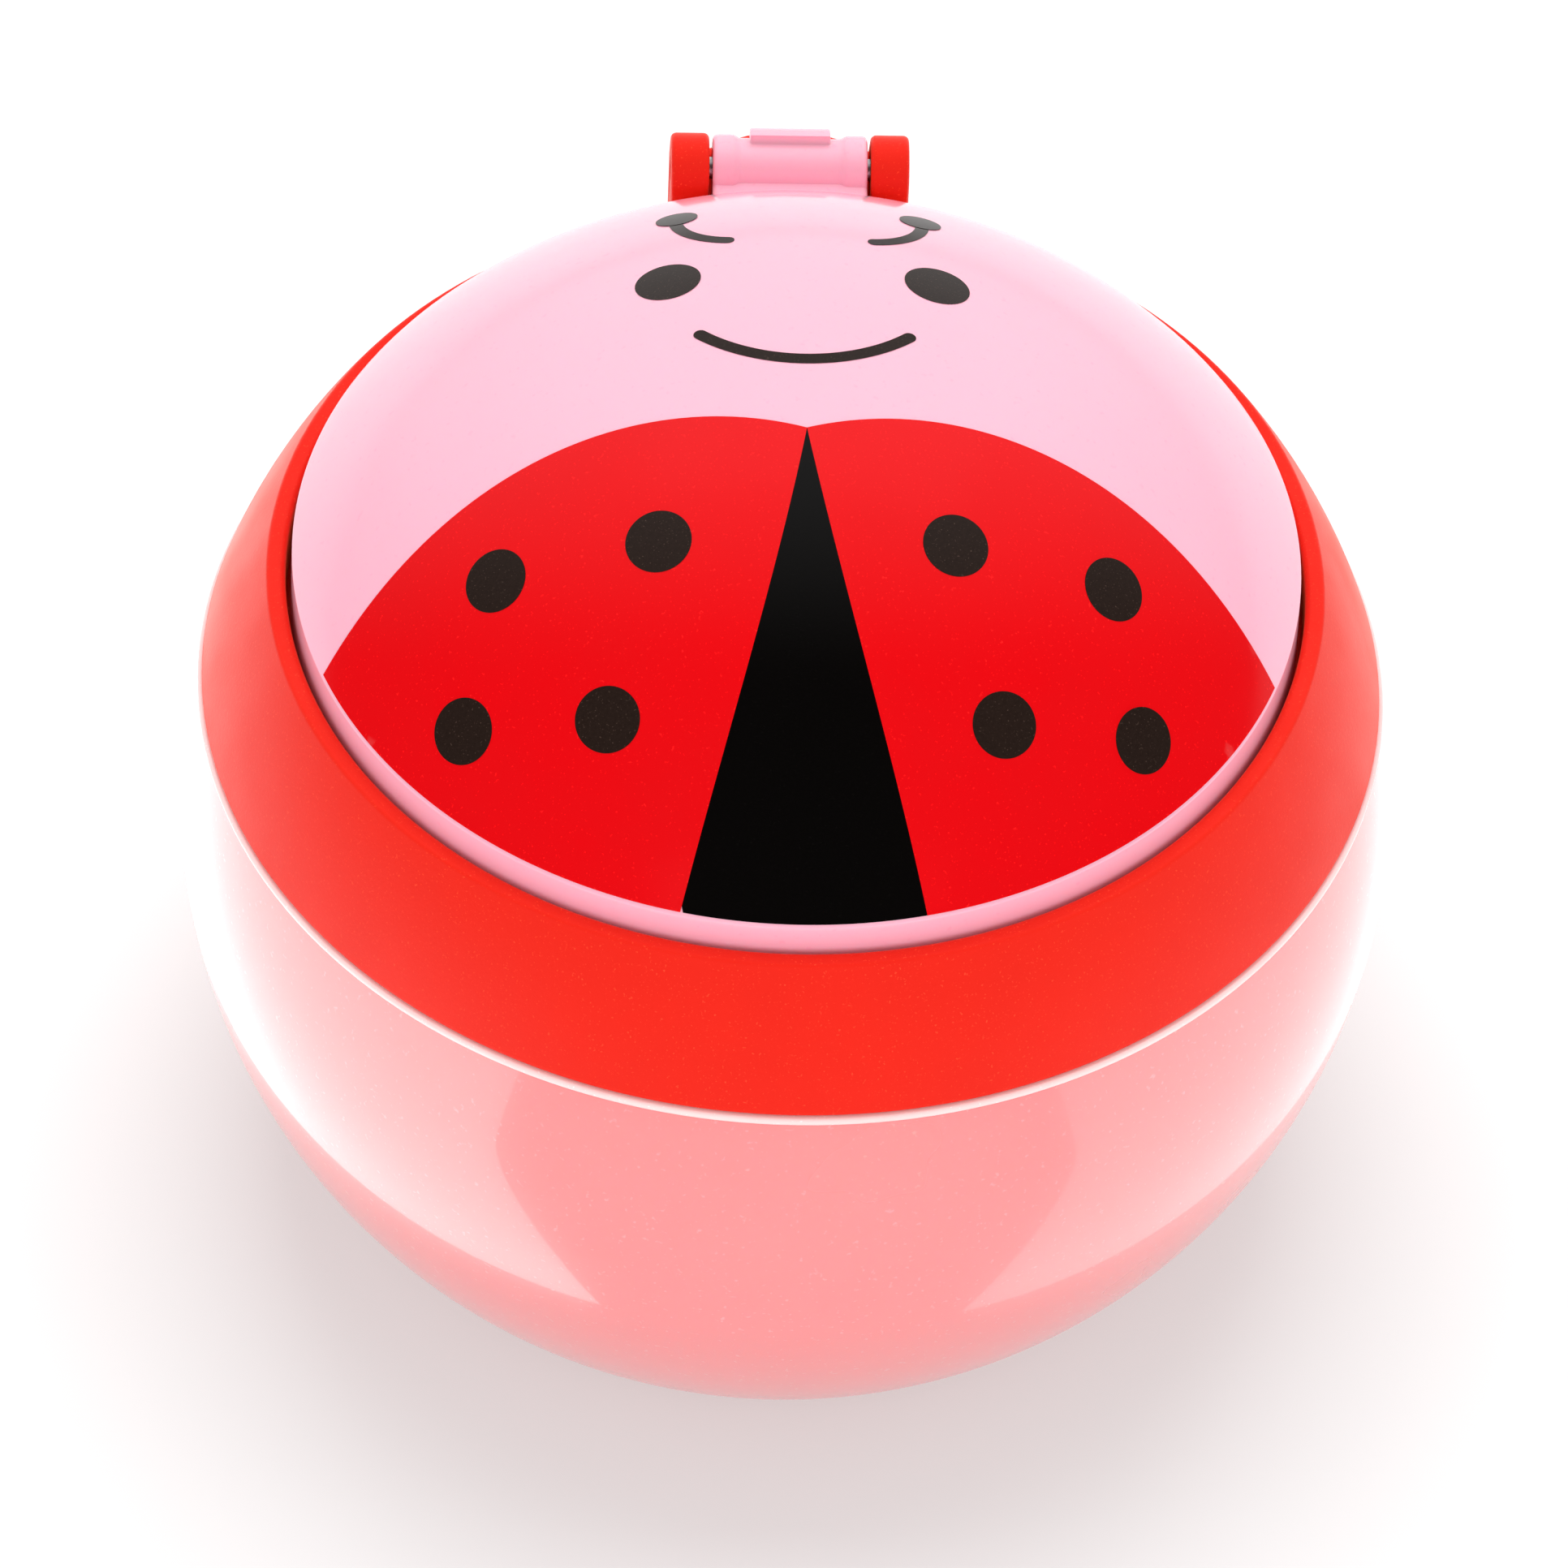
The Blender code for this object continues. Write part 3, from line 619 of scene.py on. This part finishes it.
def lug_outline(x):
    """Side outline of a lug: foot, back corner and round the pin to the front."""
    corner_y = at(BLOCK_BACK, x)
    reach = math.hypot(corner_y - HINGE.y, CORNER_DROP)
    tangent = math.acos(LUG_RADIUS / reach) - math.asin(CORNER_DROP / reach)
    outline = foot_points(x, 0.0) + [(corner_y, HINGE.z - CORNER_DROP, CORNER_ROUND)]
    outline += arc((HINGE.y, HINGE.z), LUG_RADIUS, tangent, math.pi, 18)
    return rounded(outline)


def saddle_outline(x):
    """Side outline between the lugs: foot, arched wall and the trough under the barrel."""
    top = HINGE.z - BRIDGE_DROP - BRIDGE_ARCH * (x / LUG_INNER) ** 2
    outline = foot_points(x, UNION_STEP)
    outline += [(at(BLOCK_BACK - UNION_STEP, x), top, BRIDGE_ROUND),
                (at(BLOCK_BACK - BRIDGE_WALL + UNION_STEP, x), top, BRIDGE_ROUND)]
    outline += arc((HINGE.y, HINGE.z), RELIEF_RADIUS + UNION_STEP, math.radians(-40.0),
                   math.radians(-140.0), 14)
    return rounded(outline)


def pin_cutter(name):
    """A cutter along the hinge axis, longer than the hinge."""
    ring = arc((HINGE.y, HINGE.z), BORE_RADIUS, 0.0, math.tau, 32)[:-1]
    return lofted(name, [[(x, y, z) for y, z in ring] for x in (-2.0 * LUG_OUTER, 2.0 * LUG_OUTER)])


def collar_outline():
    """Ball wall, lip, the lid's groove, deck with its raised rim, mouth and skirt."""
    bottom_angle = math.asin((COLLAR_LOW.z - BALL_Z) / COLLAR_RADIUS)
    lip_angle = math.asin((LIP_Z - BALL_Z) / COLLAR_RADIUS)
    outline = [(at(COLLAR_RADIUS, COLLAR_LOW.z - BALL_Z), COLLAR_LOW.z, CRISP)]
    outline += arc((0.0, BALL_Z), COLLAR_RADIUS, bottom_angle, lip_angle, 12)[1:-1]
    outline += [(at(COLLAR_RADIUS, LIP_Z - BALL_Z), LIP_Z, SOFT), (COLLAR_BORE, LIP_Z, SOFT),
                (COLLAR_BORE, DECK_TOP, CRISP), (RIM_OUTER, DECK_TOP, CRISP),
                (RIM_OUTER, RIM_TOP, SOFT), (RIM_INNER, RIM_TOP, SOFT),
                (RIM_INNER, DECK_TOP, CRISP), (MOUTH_RADIUS, DECK_TOP, CRISP),
                (MOUTH_RADIUS, DECK_UNDER, CRISP), (SKIRT_BORE, DECK_UNDER, SOFT),
                (SKIRT_BORE, COLLAR_LOW.z, CRISP)]
    return rounded(outline)


def build_collar(material):
    """Collar with its hinge saddle and lugs, and its share of the turn lock."""
    collar = turned("collar_shell", collar_outline())
    ring = arc((HINGE.y, HINGE.z), RELIEF_RADIUS, 0.0, math.tau, 48)[:-1]
    reach = LUG_INNER + UNION_STEP
    relief = lofted("relief_tool", [[(x, y, z) for y, z in ring] for x in (-reach, reach)])
    carve(collar, relief, "DIFFERENCE")
    reach = LUG_INNER + LUG_RADIUS / 3.0
    saddle = [[(x, y, z) for y, z in saddle_outline(x)] for x in spaced(-reach, reach, 32)]
    carve(collar, lofted("saddle_tool", saddle), "UNION")
    carve(collar, bar("lug_tool_left", lug_outline, -LUG_OUTER, -LUG_INNER, SOFT), "UNION")
    carve(collar, bar("lug_tool_right", lug_outline, LUG_INNER, LUG_OUTER, SOFT), "UNION")
    carve(collar, pin_cutter("lug_bore_tool"), "DIFFERENCE")
    place(collar, "collar", "collar", material)
    ribs = lock_ribs("collar_lock_ribs", SKIRT_BORE - RIB_HEIGHT, SKIRT_BORE + RIB_SINK,
                     SEAM_Z + NECK_RIB_RISE - RIB_ROOT - RIB_PLAY, material)
    place(ribs, "collar")


def build_pin(material):
    """Straight wire pin with lightly rounded ends."""
    ring = arc((HINGE.y, HINGE.z), PIN_RADIUS, 0.0, math.tau, 40)[:-1]
    pin = bar("hinge_pin_wire", lambda x: ring, PIN_LOW.x, PIN_HIGH.x, 0.25 * MM)
    place(pin, "collar", "hinge_pin", material)


# ---------------------------------------------------------------- lid

def barrel_outline(x):
    """Side outline of the barrel, slightly waisted, with the web that joins it to the lid's edge."""
    web_end = LID_INNER + LID_WALL / 4.0
    into = min(1.0, max(0.0, (WAIST_HALF - abs(x)) / WAIST_RAMP))
    radius = BARREL_RADIUS - WAIST_DEPTH * into * into * (3.0 - 2.0 * into)
    top_angle = math.pi - math.asin(WEB_ABOVE / radius)
    bottom_angle = math.asin(WEB_BELOW / radius) - math.pi
    outline = arc((HINGE.y, HINGE.z), radius, bottom_angle, top_angle, 40)
    outline += [(web_end, HINGE.z + WEB_ABOVE), (web_end, HINGE.z - WEB_BELOW)]
    return outline


def tab_outline(x):
    """Side outline of the raised tab on the barrel's back."""
    start, end = math.radians(30.0), math.radians(80.0)
    outline = arc((HINGE.y, HINGE.z), TAB_RADIUS, start, end, 10)
    outline += arc((HINGE.y, HINGE.z), BARREL_RADIUS - 2.0 * TOUCH_GAP, end, start, 10)
    return outline


def build_lid(material):
    """Dome with its short skirt, the hinge barrel, the tab on it and the bore for the pin."""
    edge_angle = math.asin((LID_EDGE_Z - BALL_Z) / BALL_RADIUS)
    inner = BALL_RADIUS - LID_WALL
    inner_angle = math.acos(LID_INNER / inner)
    outline = arc((0.0, BALL_Z), BALL_RADIUS, math.pi / 2.0, edge_angle, BALL_STEPS)[:-1]
    outline += [(LID_RADIUS, LID_EDGE_Z, CRISP), (LID_RADIUS, LID_LOW.z, CRISP),
                (LID_INNER, LID_LOW.z, CRISP)]
    outline += arc((0.0, BALL_Z), inner, inner_angle, math.pi / 2.0, BALL_STEPS)
    lid = turned("lid_dome", rounded(outline), closed=False)
    carve(lid, bar("barrel_tool", barrel_outline, -BARREL_HALF, BARREL_HALF, SOFT), "UNION")
    carve(lid, bar("tab_tool", tab_outline, -TAB_HALF, TAB_HALF, 0.2 * MM), "UNION")
    carve(lid, pin_cutter("barrel_bore_tool"), "DIFFERENCE")
    place(lid, "lid", "lid", material)


# ---------------------------------------------------------------- print on the lid

def arc_through(start, end, belly):
    """Points of an arc between two points that bulges to the right by a belly, end left out."""
    chord = end - start
    half = chord.length / 2.0
    radius = (half ** 2 + belly ** 2) / (2.0 * abs(belly))
    side = Vector((chord.y, -chord.x)).normalized() * math.copysign(1.0, belly)
    centre = (start + end) / 2.0 + side * (abs(belly) - radius)
    first = (start - centre).normalized()
    last = (end - centre).normalized()
    return [centre + first.slerp(last, share) * radius for share in spaced(0.0, 1.0, ARC_STEPS)[:-1]]


def stroke(points, width):
    """Outline of a line of even width with round ends."""
    left, right = [], []
    for index, here in enumerate(points):
        ahead = points[min(index + 1, len(points) - 1)]
        back = points[max(index - 1, 0)]
        along = (ahead - back).normalized()
        side = Vector((-along.y, along.x)) * width / 2.0
        left.append(here + side)
        right.append(here - side)
    cap_end = cap(points[-1], left[-1], right[-1])
    cap_start = cap(points[0], right[0], left[0])
    return left + cap_end + right[::-1] + cap_start


def cap(centre, start, end):
    """Points of a half round from start to end about a centre, turning clockwise."""
    arm = start - centre
    turns = [-math.pi * step / 8 for step in range(1, 8)]
    return [centre + Vector((arm.x * math.cos(t) - arm.y * math.sin(t),
                             arm.x * math.sin(t) + arm.y * math.cos(t))) for t in turns]


def film(name, outlines, level, material):
    """Thin closed ink films over the dome inside outlines given in shares of the ball's radius."""
    bm = bmesh.new()
    outer = BALL_RADIUS + level * INK_STEP + INK
    for outline in outlines:
        rim = []
        for here, ahead in zip(outline, outline[1:] + outline[:1]):
            pieces = max(1, round((ahead - here).length * BALL_RADIUS / INK_GRID))
            rim += [unroll(here.lerp(ahead, step / pieces)) for step in range(pieces)]
        low = [min(point[axis] for point in rim) for axis in (0, 1)]
        high = [max(point[axis] for point in rim) for axis in (0, 1)]
        grid = INK_GRID / BALL_RADIUS
        counts = [max(1, round((high[axis] - low[axis]) / grid)) for axis in (0, 1)]
        inside = [Vector((x, y)) for x in spaced(low[0], high[0], counts[0])[1:-1]
                  for y in spaced(low[1], high[1], counts[1])[1:-1]]
        count = len(rim)
        edges = [(i, (i + 1) % count) for i in range(count)]
        points, _, faces, *_ = geometry.delaunay_2d_cdt(rim + inside, edges, [list(range(count))],
                                                        1, 1e-6)
        used = sorted({i for face in faces for i in face})
        levels = []
        for radius in (outer, outer - INK):
            levels.append({i: bm.verts.new(roll(points[i], radius)) for i in used})
        top, bottom = levels
        sides = {}
        for face in faces:
            bm.faces.new([top[i] for i in face])
            bm.faces.new([bottom[i] for i in reversed(face)])
            for a, b in zip(face, face[1:] + face[:1]):
                sides[(a, b)] = sides.get((a, b), 0) + 1
        for a, b in sides:
            if (b, a) not in sides:
                bm.faces.new((top[a], bottom[a], bottom[b], top[b]))
    obj = make_object(name, bm)
    return place(obj, "lid", material=material)


def unroll(point):
    """Plan place on the ball, in shares of its radius, to even distances from the apex."""
    reach = point.length
    return point * (math.asin(reach) / reach) if reach > 1e-6 else point.copy()


def roll(point, radius):
    """Even distances from the apex back to a place on a ball of some radius."""
    angle = point.length
    out = point.normalized() * math.sin(angle) if angle > 1e-6 else point
    return Vector((out.x * radius, out.y * radius, BALL_Z + radius * math.cos(angle)))


def discs(name, spots, level, material):
    """Round ink films at (across, back, radius), in shares of the ball's radius, on both sides."""
    mesh = bpy.data.meshes.new(name)
    film_radius = BALL_RADIUS + level * INK_STEP
    both = [(side * x, y, radius) for x, y, radius in spots for side in (-1.0, 1.0)]
    mesh.from_pydata([roll(unroll(Vector((x, y))), film_radius) for x, y, _ in both], [], [])
    sizes = mesh.attributes.new("disc_radius", "FLOAT", "POINT")
    sizes.data.foreach_set("value", [radius * BALL_RADIUS for _, _, radius in both])
    obj = bpy.data.objects.new(name, mesh)
    bpy.context.scene.collection.objects.link(obj)
    run_tree(obj, TREES["discs"], {
        "Ball Centre": (0.0, 0.0, BALL_Z), "Film Radius": film_radius, "Film Thickness": INK,
        "Material": material})
    return place(obj, "lid")


def mirrored(outline):
    """The same outline on the other side of the cup."""
    return [Vector((-point.x, point.y)) for point in reversed(outline)]


def along_lid_edge(start, end):
    """Points along the print's limit at the lid's edge, end left out."""
    reach = (LID_RADIUS - PRINT_MARGIN) / BALL_RADIUS
    first = math.atan2(start.y, start.x)
    last = math.atan2(end.y, end.x)
    return [Vector((reach * math.cos(a), reach * math.sin(a)))
            for a in spaced(first, last, 40)[:-1]]


def build_print(inks):
    """Ladybird motif made of circles and arcs: face on the pink, wing cases over a black back."""
    reach = (LID_RADIUS - PRINT_MARGIN) / BALL_RADIUS
    tip = Vector((math.cos(WING_TIP_TURN), math.sin(WING_TIP_TURN))) * reach
    foot = Vector((math.cos(WING_FOOT_TURN), math.sin(WING_FOOT_TURN))) * reach
    inner = arc_through(WING_APEX, foot, WING_BELLY)
    wing = arc_through(tip, WING_APEX, WING_SHOULDER) + inner + along_lid_edge(foot, tip)
    film("print_wing_cases", [wing, mirrored(wing)], 2, inks["red"])
    tuck = Vector((BACK_TUCK, 0.0))
    right = [point + tuck for point in inner]
    back = right + along_lid_edge(foot + tuck, mirrored([foot + tuck])[0]) + mirrored(right)
    film("print_back_panel", [back], 1, inks["black"])
    discs("print_spots", SPOTS, 3, inks["brown"])
    discs("print_eyes", [EYE], 1, inks["brown"])
    discs("print_feeler_balls", [FEELER_BALL], 2, inks["brown"])
    ball = Vector(FEELER_BALL[:2])
    feeler = stroke(arc_through(FEELER_ROOT, ball, FEELER_BELLY) + [ball],
                    FEELER_WIDTH / BALL_RADIUS)
    film("print_feelers", [feeler, mirrored(feeler)], 1, inks["brown"])
    drop = SMILE_END.y - SMILE_LOW
    smile_path = arc_through(Vector((-SMILE_END.x, SMILE_END.y)), SMILE_END, drop)
    smile = stroke(smile_path + [SMILE_END], SMILE_WIDTH / BALL_RADIUS)
    film("print_smile", [smile], 1, inks["brown"])


# ---------------------------------------------------------------- flap insert

def build_flap_ring(material):
    """Grommet that grips the deck's edge, with a six-sided window for the flaps."""
    grommet_outer = MOUTH_RADIUS - TOUCH_GAP
    grommet_inner = grommet_outer - GROMMET_WALL
    window_inside = FLAP_BEND.x - 4.0 * MM
    flap_top = FLAP_HIGH.z
    upper_under = DECK_TOP + TOUCH_GAP
    outline = [(window_inside, RING_LOW.z), (RING_HIGH.x, RING_LOW.z, SOFT),
               (RING_HIGH.x, flap_top, SOFT), (grommet_outer, flap_top, CRISP),
               (grommet_outer, upper_under, CRISP), (MOUTH_RADIUS + 1.6 * MM, upper_under, SOFT),
               (MOUTH_RADIUS + 1.6 * MM, RING_HIGH.z, SOFT), (grommet_inner, RING_HIGH.z, SOFT),
               (grommet_inner, flap_top, 1.0 * MM), (window_inside, flap_top)]
    ring = turned("flap_ring_grommet", rounded(outline))
    corner = (FLAP_BEND.x + FLAP_REACH + 0.15 * MM) / math.cos(math.pi / FLAPS)
    turns = [math.tau * (index + 0.5) / FLAPS for index in range(FLAPS)]
    window = [[(corner * math.cos(t), corner * math.sin(t), z) for t in turns]
              for z in (RING_LOW.z - SOFT, flap_top + SOFT)]
    carve(ring, lofted("window_tool", window), "DIFFERENCE")
    place(ring, "flap_insert", "flap_ring", material)


def flap_thickness(from_side, from_root):
    """Half thickness: full in a border along the sides and the root, thin in the field."""
    border = min(1.0, max(0.0, (min(from_side, from_root) - FLAP_BORDER) / (0.8 * MM)))
    ease = border * border * (3.0 - 2.0 * border)
    full = FLAP_EDGE + (FLAP_FIELD - FLAP_EDGE) * ease
    edge = min(1.0, from_side / FLAP_EDGE)
    return full * math.sqrt(max(0.0, 1.0 - (1.0 - edge) ** 2))


def build_flap(index, material):
    """One soft flap, a wedge that runs from its root past its bend line to its tip."""
    turn = math.tau * index / FLAPS
    out = Vector((math.cos(turn), math.sin(turn), 0.0))
    side = Vector((-math.sin(turn), math.cos(turn), 0.0))
    root = FLAP_BEND.x + FLAP_REACH + 0.35 * MM
    tip = FLAP_LOW.x
    slit = FLAP_SLIT / 2.0 / math.cos(math.pi / FLAPS)
    stations = spaced(root, FLAP_BEND.x - 3.0 * MM, 16) + spaced(FLAP_BEND.x - 3.0 * MM, tip, 30)[1:]
    sections = []
    for reach in stations:
        half = reach * math.tan(math.pi / FLAPS) - slit
        fine = [0.0, 0.04, 0.12, 0.25, 0.42, 0.6, 1.2, 1.7, 1.9, 2.1, 2.3, 2.5, 3.2]
        squeeze = min(1.0, half / (3.6 * MM))
        near = [d * MM * squeeze for d in fine]
        depths = near + spaced(near[-1], half, 8)[1:]
        offsets = [d - half for d in depths] + [half - d for d in reversed(depths[:-1])]
        tip_share = min(1.0, (reach - tip) / FLAP_EDGE + 0.15)
        tip_round = math.sqrt(1.0 - (1.0 - tip_share) ** 2)
        heights = [flap_thickness(half - abs(o), root - reach) * tip_round for o in offsets]
        top = [out * reach + side * o + Vector((0.0, 0.0, FLAP_BEND.z + h))
               for o, h in zip(offsets, heights)]
        under = [out * reach + side * o + Vector((0.0, 0.0, FLAP_BEND.z - h))
                 for o, h in list(zip(offsets, heights))[-2:0:-1]]
        sections.append(top + under)
    flap = lofted(f"flap_{index + 1}_petal", sections)
    flap.data.materials.append(material)
    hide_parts(f"flap_{index + 1}")
    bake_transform(flap)


# ---------------------------------------------------------------- studio

def add_softbox(name, place_at, size, power):
    """A soft area light that faces the middle of the cup, and that gloss doesn't mirror."""
    light = bpy.data.lights.new(name, "AREA")
    light.shape = "RECTANGLE"
    light.size, light.size_y = size
    light.energy = power
    obj = bpy.data.objects.new(name, light)
    obj.location = place_at
    aim = Vector((0.0, 0.0, BALL_Z)) - Vector(place_at)
    obj.rotation_mode = "QUATERNION"
    obj.rotation_quaternion = aim.to_track_quat("-Z", "Y")
    obj.visible_camera = False
    obj.visible_glossy = False
    bpy.context.scene.collection.objects.link(obj)
    return obj


def staged(name, points, faces, material):
    """A piece of the studio, which isn't part of the cup."""
    mesh = bpy.data.meshes.new(name)
    mesh.from_pydata(points, [], faces)
    mesh.materials.append(material)
    obj = bpy.data.objects.new(name, mesh)
    bpy.context.scene.collection.objects.link(obj)
    return obj


def glow(name, strength):
    """A plain white surface that gives light, for the studio only."""
    material = bpy.data.materials.new(name)
    material.use_nodes = True
    shader = material.node_tree.nodes["Principled BSDF"]
    shader.inputs["Base Color"].default_value = (0.0, 0.0, 0.0, 1.0)
    shader.inputs["Specular IOR Level"].default_value = 0.0
    shader.inputs["Emission Color"].default_value = colour("#FFFFFF")
    shader.inputs["Emission Strength"].default_value = strength
    return material


def add_card(name, start, end, strength, lights_only):
    """A bright card flat on the floor, from the back round to the front, that only gloss mirrors."""
    reaches = spaced(CARD_NEAR, CARD_KNEE, 6) + [CARD_FAR]
    steps = 24
    points = []
    for reach in reaches:
        curl = CARD_CURL * max(0.0, (CARD_KNEE - reach) / (CARD_KNEE - CARD_NEAR)) ** 2
        points += [(reach * math.cos(math.radians(t)), reach * math.sin(math.radians(t)), CARD_LIFT)
                   for t in spaced(start, end + math.copysign(curl, end - start), steps)]
    row = steps + 1
    faces = [(k * row + i, k * row + i + 1, (k + 1) * row + i + 1, (k + 1) * row + i)
             for k in range(len(reaches) - 1) for i in range(steps)]
    material = bpy.data.materials.new(name)
    material.use_nodes = True
    tree = material.node_tree
    clear = add_node(tree, "ShaderNodeBsdfTransparent")
    light = add_node(tree, "ShaderNodeEmission", Strength=strength)
    both = add_node(tree, "ShaderNodeAddShader", _0=light.outputs[0], _1=clear.outputs[0])
    tree.links.new(both.outputs[0], tree.nodes["Material Output"].inputs["Surface"])
    card = staged(name, points, faces, material)
    card.light_linking.receiver_collection = lights_only
    card.visible_camera = False
    card.visible_diffuse = False
    card.visible_shadow = False
    card.visible_transmission = False


def build_studio():
    """Pale floor, a tent of cloth, two glowing cards, soft lights and the camera."""
    scene = bpy.context.scene
    scene.view_settings.view_transform = "Standard"
    world = bpy.data.worlds.new("back_lit_room")
    scene.world = world
    world.use_nodes = True
    tree = world.node_tree
    view = add_node(tree, "ShaderNodeTexCoord").outputs["Generated"]
    to_back = add_node(tree, "ShaderNodeVectorMath", {"operation": "DOT_PRODUCT"}, _0=view,
                       _1=BACK_LIGHT.normalized())
    strength = add_node(tree, "ShaderNodeMapRange", {"interpolation_type": "SMOOTHSTEP"},
                        Value=to_back.outputs["Value"], From_Min=0.25, From_Max=1.0,
                        To_Min=ROOM, To_Max=ROOM_BACK)
    tree.links.new(strength.outputs["Result"], tree.nodes["Background"].inputs["Strength"])
    tree.nodes["Background"].inputs["Color"].default_value = colour("#FFFFFF")

    paper = plastic("matt_paper_sweep", "#949494", "#929292", 40.0 * MM, "#939393", 0.5 * MM, 0.8,
                    0.1, 1.0 * MM, 0.01 * MM, Specular_IOR_Level=0.0,
                    Emission_Color=colour("#FFFFFF"), Emission_Strength=FLOOR_GLOW)
    corners = [(x * FLOOR_REACH, y * FLOOR_REACH, 0.0)
               for x, y in ((-1, -1), (1, -1), (1, 1), (-1, 1))]
    floor = staged("studio_floor", corners, [(0, 1, 2, 3)], paper)

    bm = bmesh.new()
    bmesh.ops.create_icosphere(bm, subdivisions=3, radius=1.3 * FLOOR_REACH)
    bmesh.ops.reverse_faces(bm, faces=bm.faces)
    points = [tuple(vert.co) for vert in bm.verts]
    faces = [tuple(vert.index for vert in face.verts) for face in bm.faces]
    bm.free()
    tent = staged("studio_tent", points, faces, glow("tent_cloth", TENT_GLOW))
    tent.visible_glossy = False

    lower_half = bpy.data.collections.new("lit_by_cards")
    for name in ("bowl_shell", "bowl_rim_edge", "collar_shell"):
        lower_half.objects.link(bpy.data.objects[name])
    add_card("card_left", *CARD_LEFT, CARD_GLOW, lower_half)
    add_card("card_right", *CARD_RIGHT, CARD_GLOW * CARD_RIGHT_SHARE, lower_half)
    add_softbox("softbox_top", TOP_PLACE, TOP_SIZE, TOP_POWER)
    add_softbox("softbox_front", FILL_PLACE, FILL_SIZE, FILL_POWER)
    lamp = add_softbox("floor_lamp", FLOOR_LAMP_PLACE, FLOOR_LAMP_SIZE, FLOOR_POWER)
    lit = bpy.data.collections.new("lit_by_floor_lamp")
    lit.objects.link(floor)
    lamp.light_linking.receiver_collection = lit

    ball = Vector((0.0, 0.0, BALL_Z))
    back = TO_CAMERA.normalized()
    right = (TO_RIGHT - back * TO_RIGHT.dot(back)).normalized()
    up = back.cross(right)
    camera = bpy.data.cameras.new("product_camera")
    camera.sensor_width = 36.0
    camera.lens = camera.sensor_width * BALL_SHARE * CAMERA_DISTANCE / (2.0 * BALL_RADIUS)
    camera.clip_start, camera.clip_end = 0.05, 20.0
    obj = bpy.data.objects.new("product_camera", camera)
    obj.location = ball + right * AIM_RIGHT + up * AIM_UP + back * CAMERA_DISTANCE
    obj.rotation_mode = "QUATERNION"
    obj.rotation_quaternion = Matrix((right, up, back)).transposed().to_quaternion()
    scene.collection.objects.link(obj)
    scene.camera = obj


# ---------------------------------------------------------------- the whole cup

TREES = {"ribs": rib_tree(), "discs": disc_tree()}

# Copolyester from a polished mould: a wet-looking shine over faint cloudy patches. It is opaque here,
# with light scattered under its surface, where the real wall lets light through.
rose = plastic("rose_copolyester_polished", "#FF8486", "#FF8E8E", 30.0 * MM, "#FF9C9C", 0.5 * MM,
               0.22, 0.06, 2.5 * MM, 0.004 * MM, IOR=1.57, Coat_Weight=0.6, Coat_Roughness=0.03,
               Coat_IOR=1.55, Subsurface_Weight=0.4, Subsurface_Scale=0.004)
# Polypropylene from a finely textured mould: broad dull highlights and an even grain. The real
# grain is too fine to show, so it is drawn coarser, at 0.35 mm.
red = plastic("red_polypropylene_satin", "#F01E06", "#E81A04", 8.0 * MM, "#FF4426", 0.22 * MM,
              0.40, 0.08, 0.35 * MM, 0.02 * MM, IOR=1.49, Specular_IOR_Level=0.2,
              Subsurface_Weight=0.1, Subsurface_Scale=0.001, Sheen_Weight=0.3,
              Sheen_Roughness=0.4, Sheen_Tint=colour("#FF8450"))
# ABS from a polished mould: clean, sharp reflections with hardly any texture.
pink = plastic("pink_abs_high_gloss", "#FFBACD", "#FFB4C8", 25.0 * MM, "#FFB0C6", 0.6 * MM,
               0.10, 0.04, 3.0 * MM, 0.003 * MM, IOR=1.53, Subsurface_Weight=0.15,
               Subsurface_Scale=0.002)
# Soft elastomer from a plain mould: milky and dull, with light spread softly under its surface.
soft = plastic("rose_tpe_moulded", "#F6C4C6", "#F2B8BC", 6.0 * MM, "#F8CCCC", 0.4 * MM, 0.5, 0.1,
               0.4 * MM, 0.02 * MM, IOR=1.45, Subsurface_Weight=0.5, Subsurface_Scale=0.003)
# The bowl's raised edge under the collar: its pale colour is a painted highlight along the rounded
# top, and it is a little less glossy than the bowl.
painted_edge_highlight = plastic("rose_copolyester_edge_painted_highlight", "#FFE4E2", "#FFD2D0", 6.0 * MM, "#FFF2F0", 0.3 * MM,
              0.3, 0.1, 0.3 * MM, 0.01 * MM, IOR=1.57)
# Drawn wire: grey metal with uneven gloss. Its draw marks are too fine to show and are drawn as
# 0.2 mm grain.
steel = plastic("steel_wire_drawn", "#C6C6C8", "#B4B4B8", 1.0 * MM, "#9C9CA2", 0.2 * MM, 0.22,
                0.12, 0.2 * MM, 0.005 * MM, Metallic=1.0)
# Printed films: flat, even colour with a thin gloss. Their grain is drawn far coarser than ink's,
# which is too fine to show.
inks = {
    "red": plastic("red_label_ink", "#E4000A", "#DC0008", 12.0 * MM, "#FF1A1A", 0.25 * MM, 0.12,
                   0.04, 0.3 * MM, 0.002 * MM, Specular_IOR_Level=0.2),
    "black": plastic("black_label_ink", "#040302", "#060404", 0.3 * MM, "#0A0807", 0.2 * MM, 0.12,
                     0.04, 0.3 * MM, 0.002 * MM, Specular_IOR_Level=0.12),
    "brown": plastic("brown_label_ink", "#1E1410", "#2A1E19", 0.3 * MM, "#4A3A32", 0.18 * MM, 0.14,
                     0.04, 0.3 * MM, 0.002 * MM, Specular_IOR_Level=0.12),
}

build_bowl(rose, painted_edge_highlight)
build_collar(red)
build_lid(pink)
build_pin(steel)
build_flap_ring(soft)
for flap_index in range(FLAPS):
    build_flap(flap_index, soft)
build_print(inks)
build_studio()
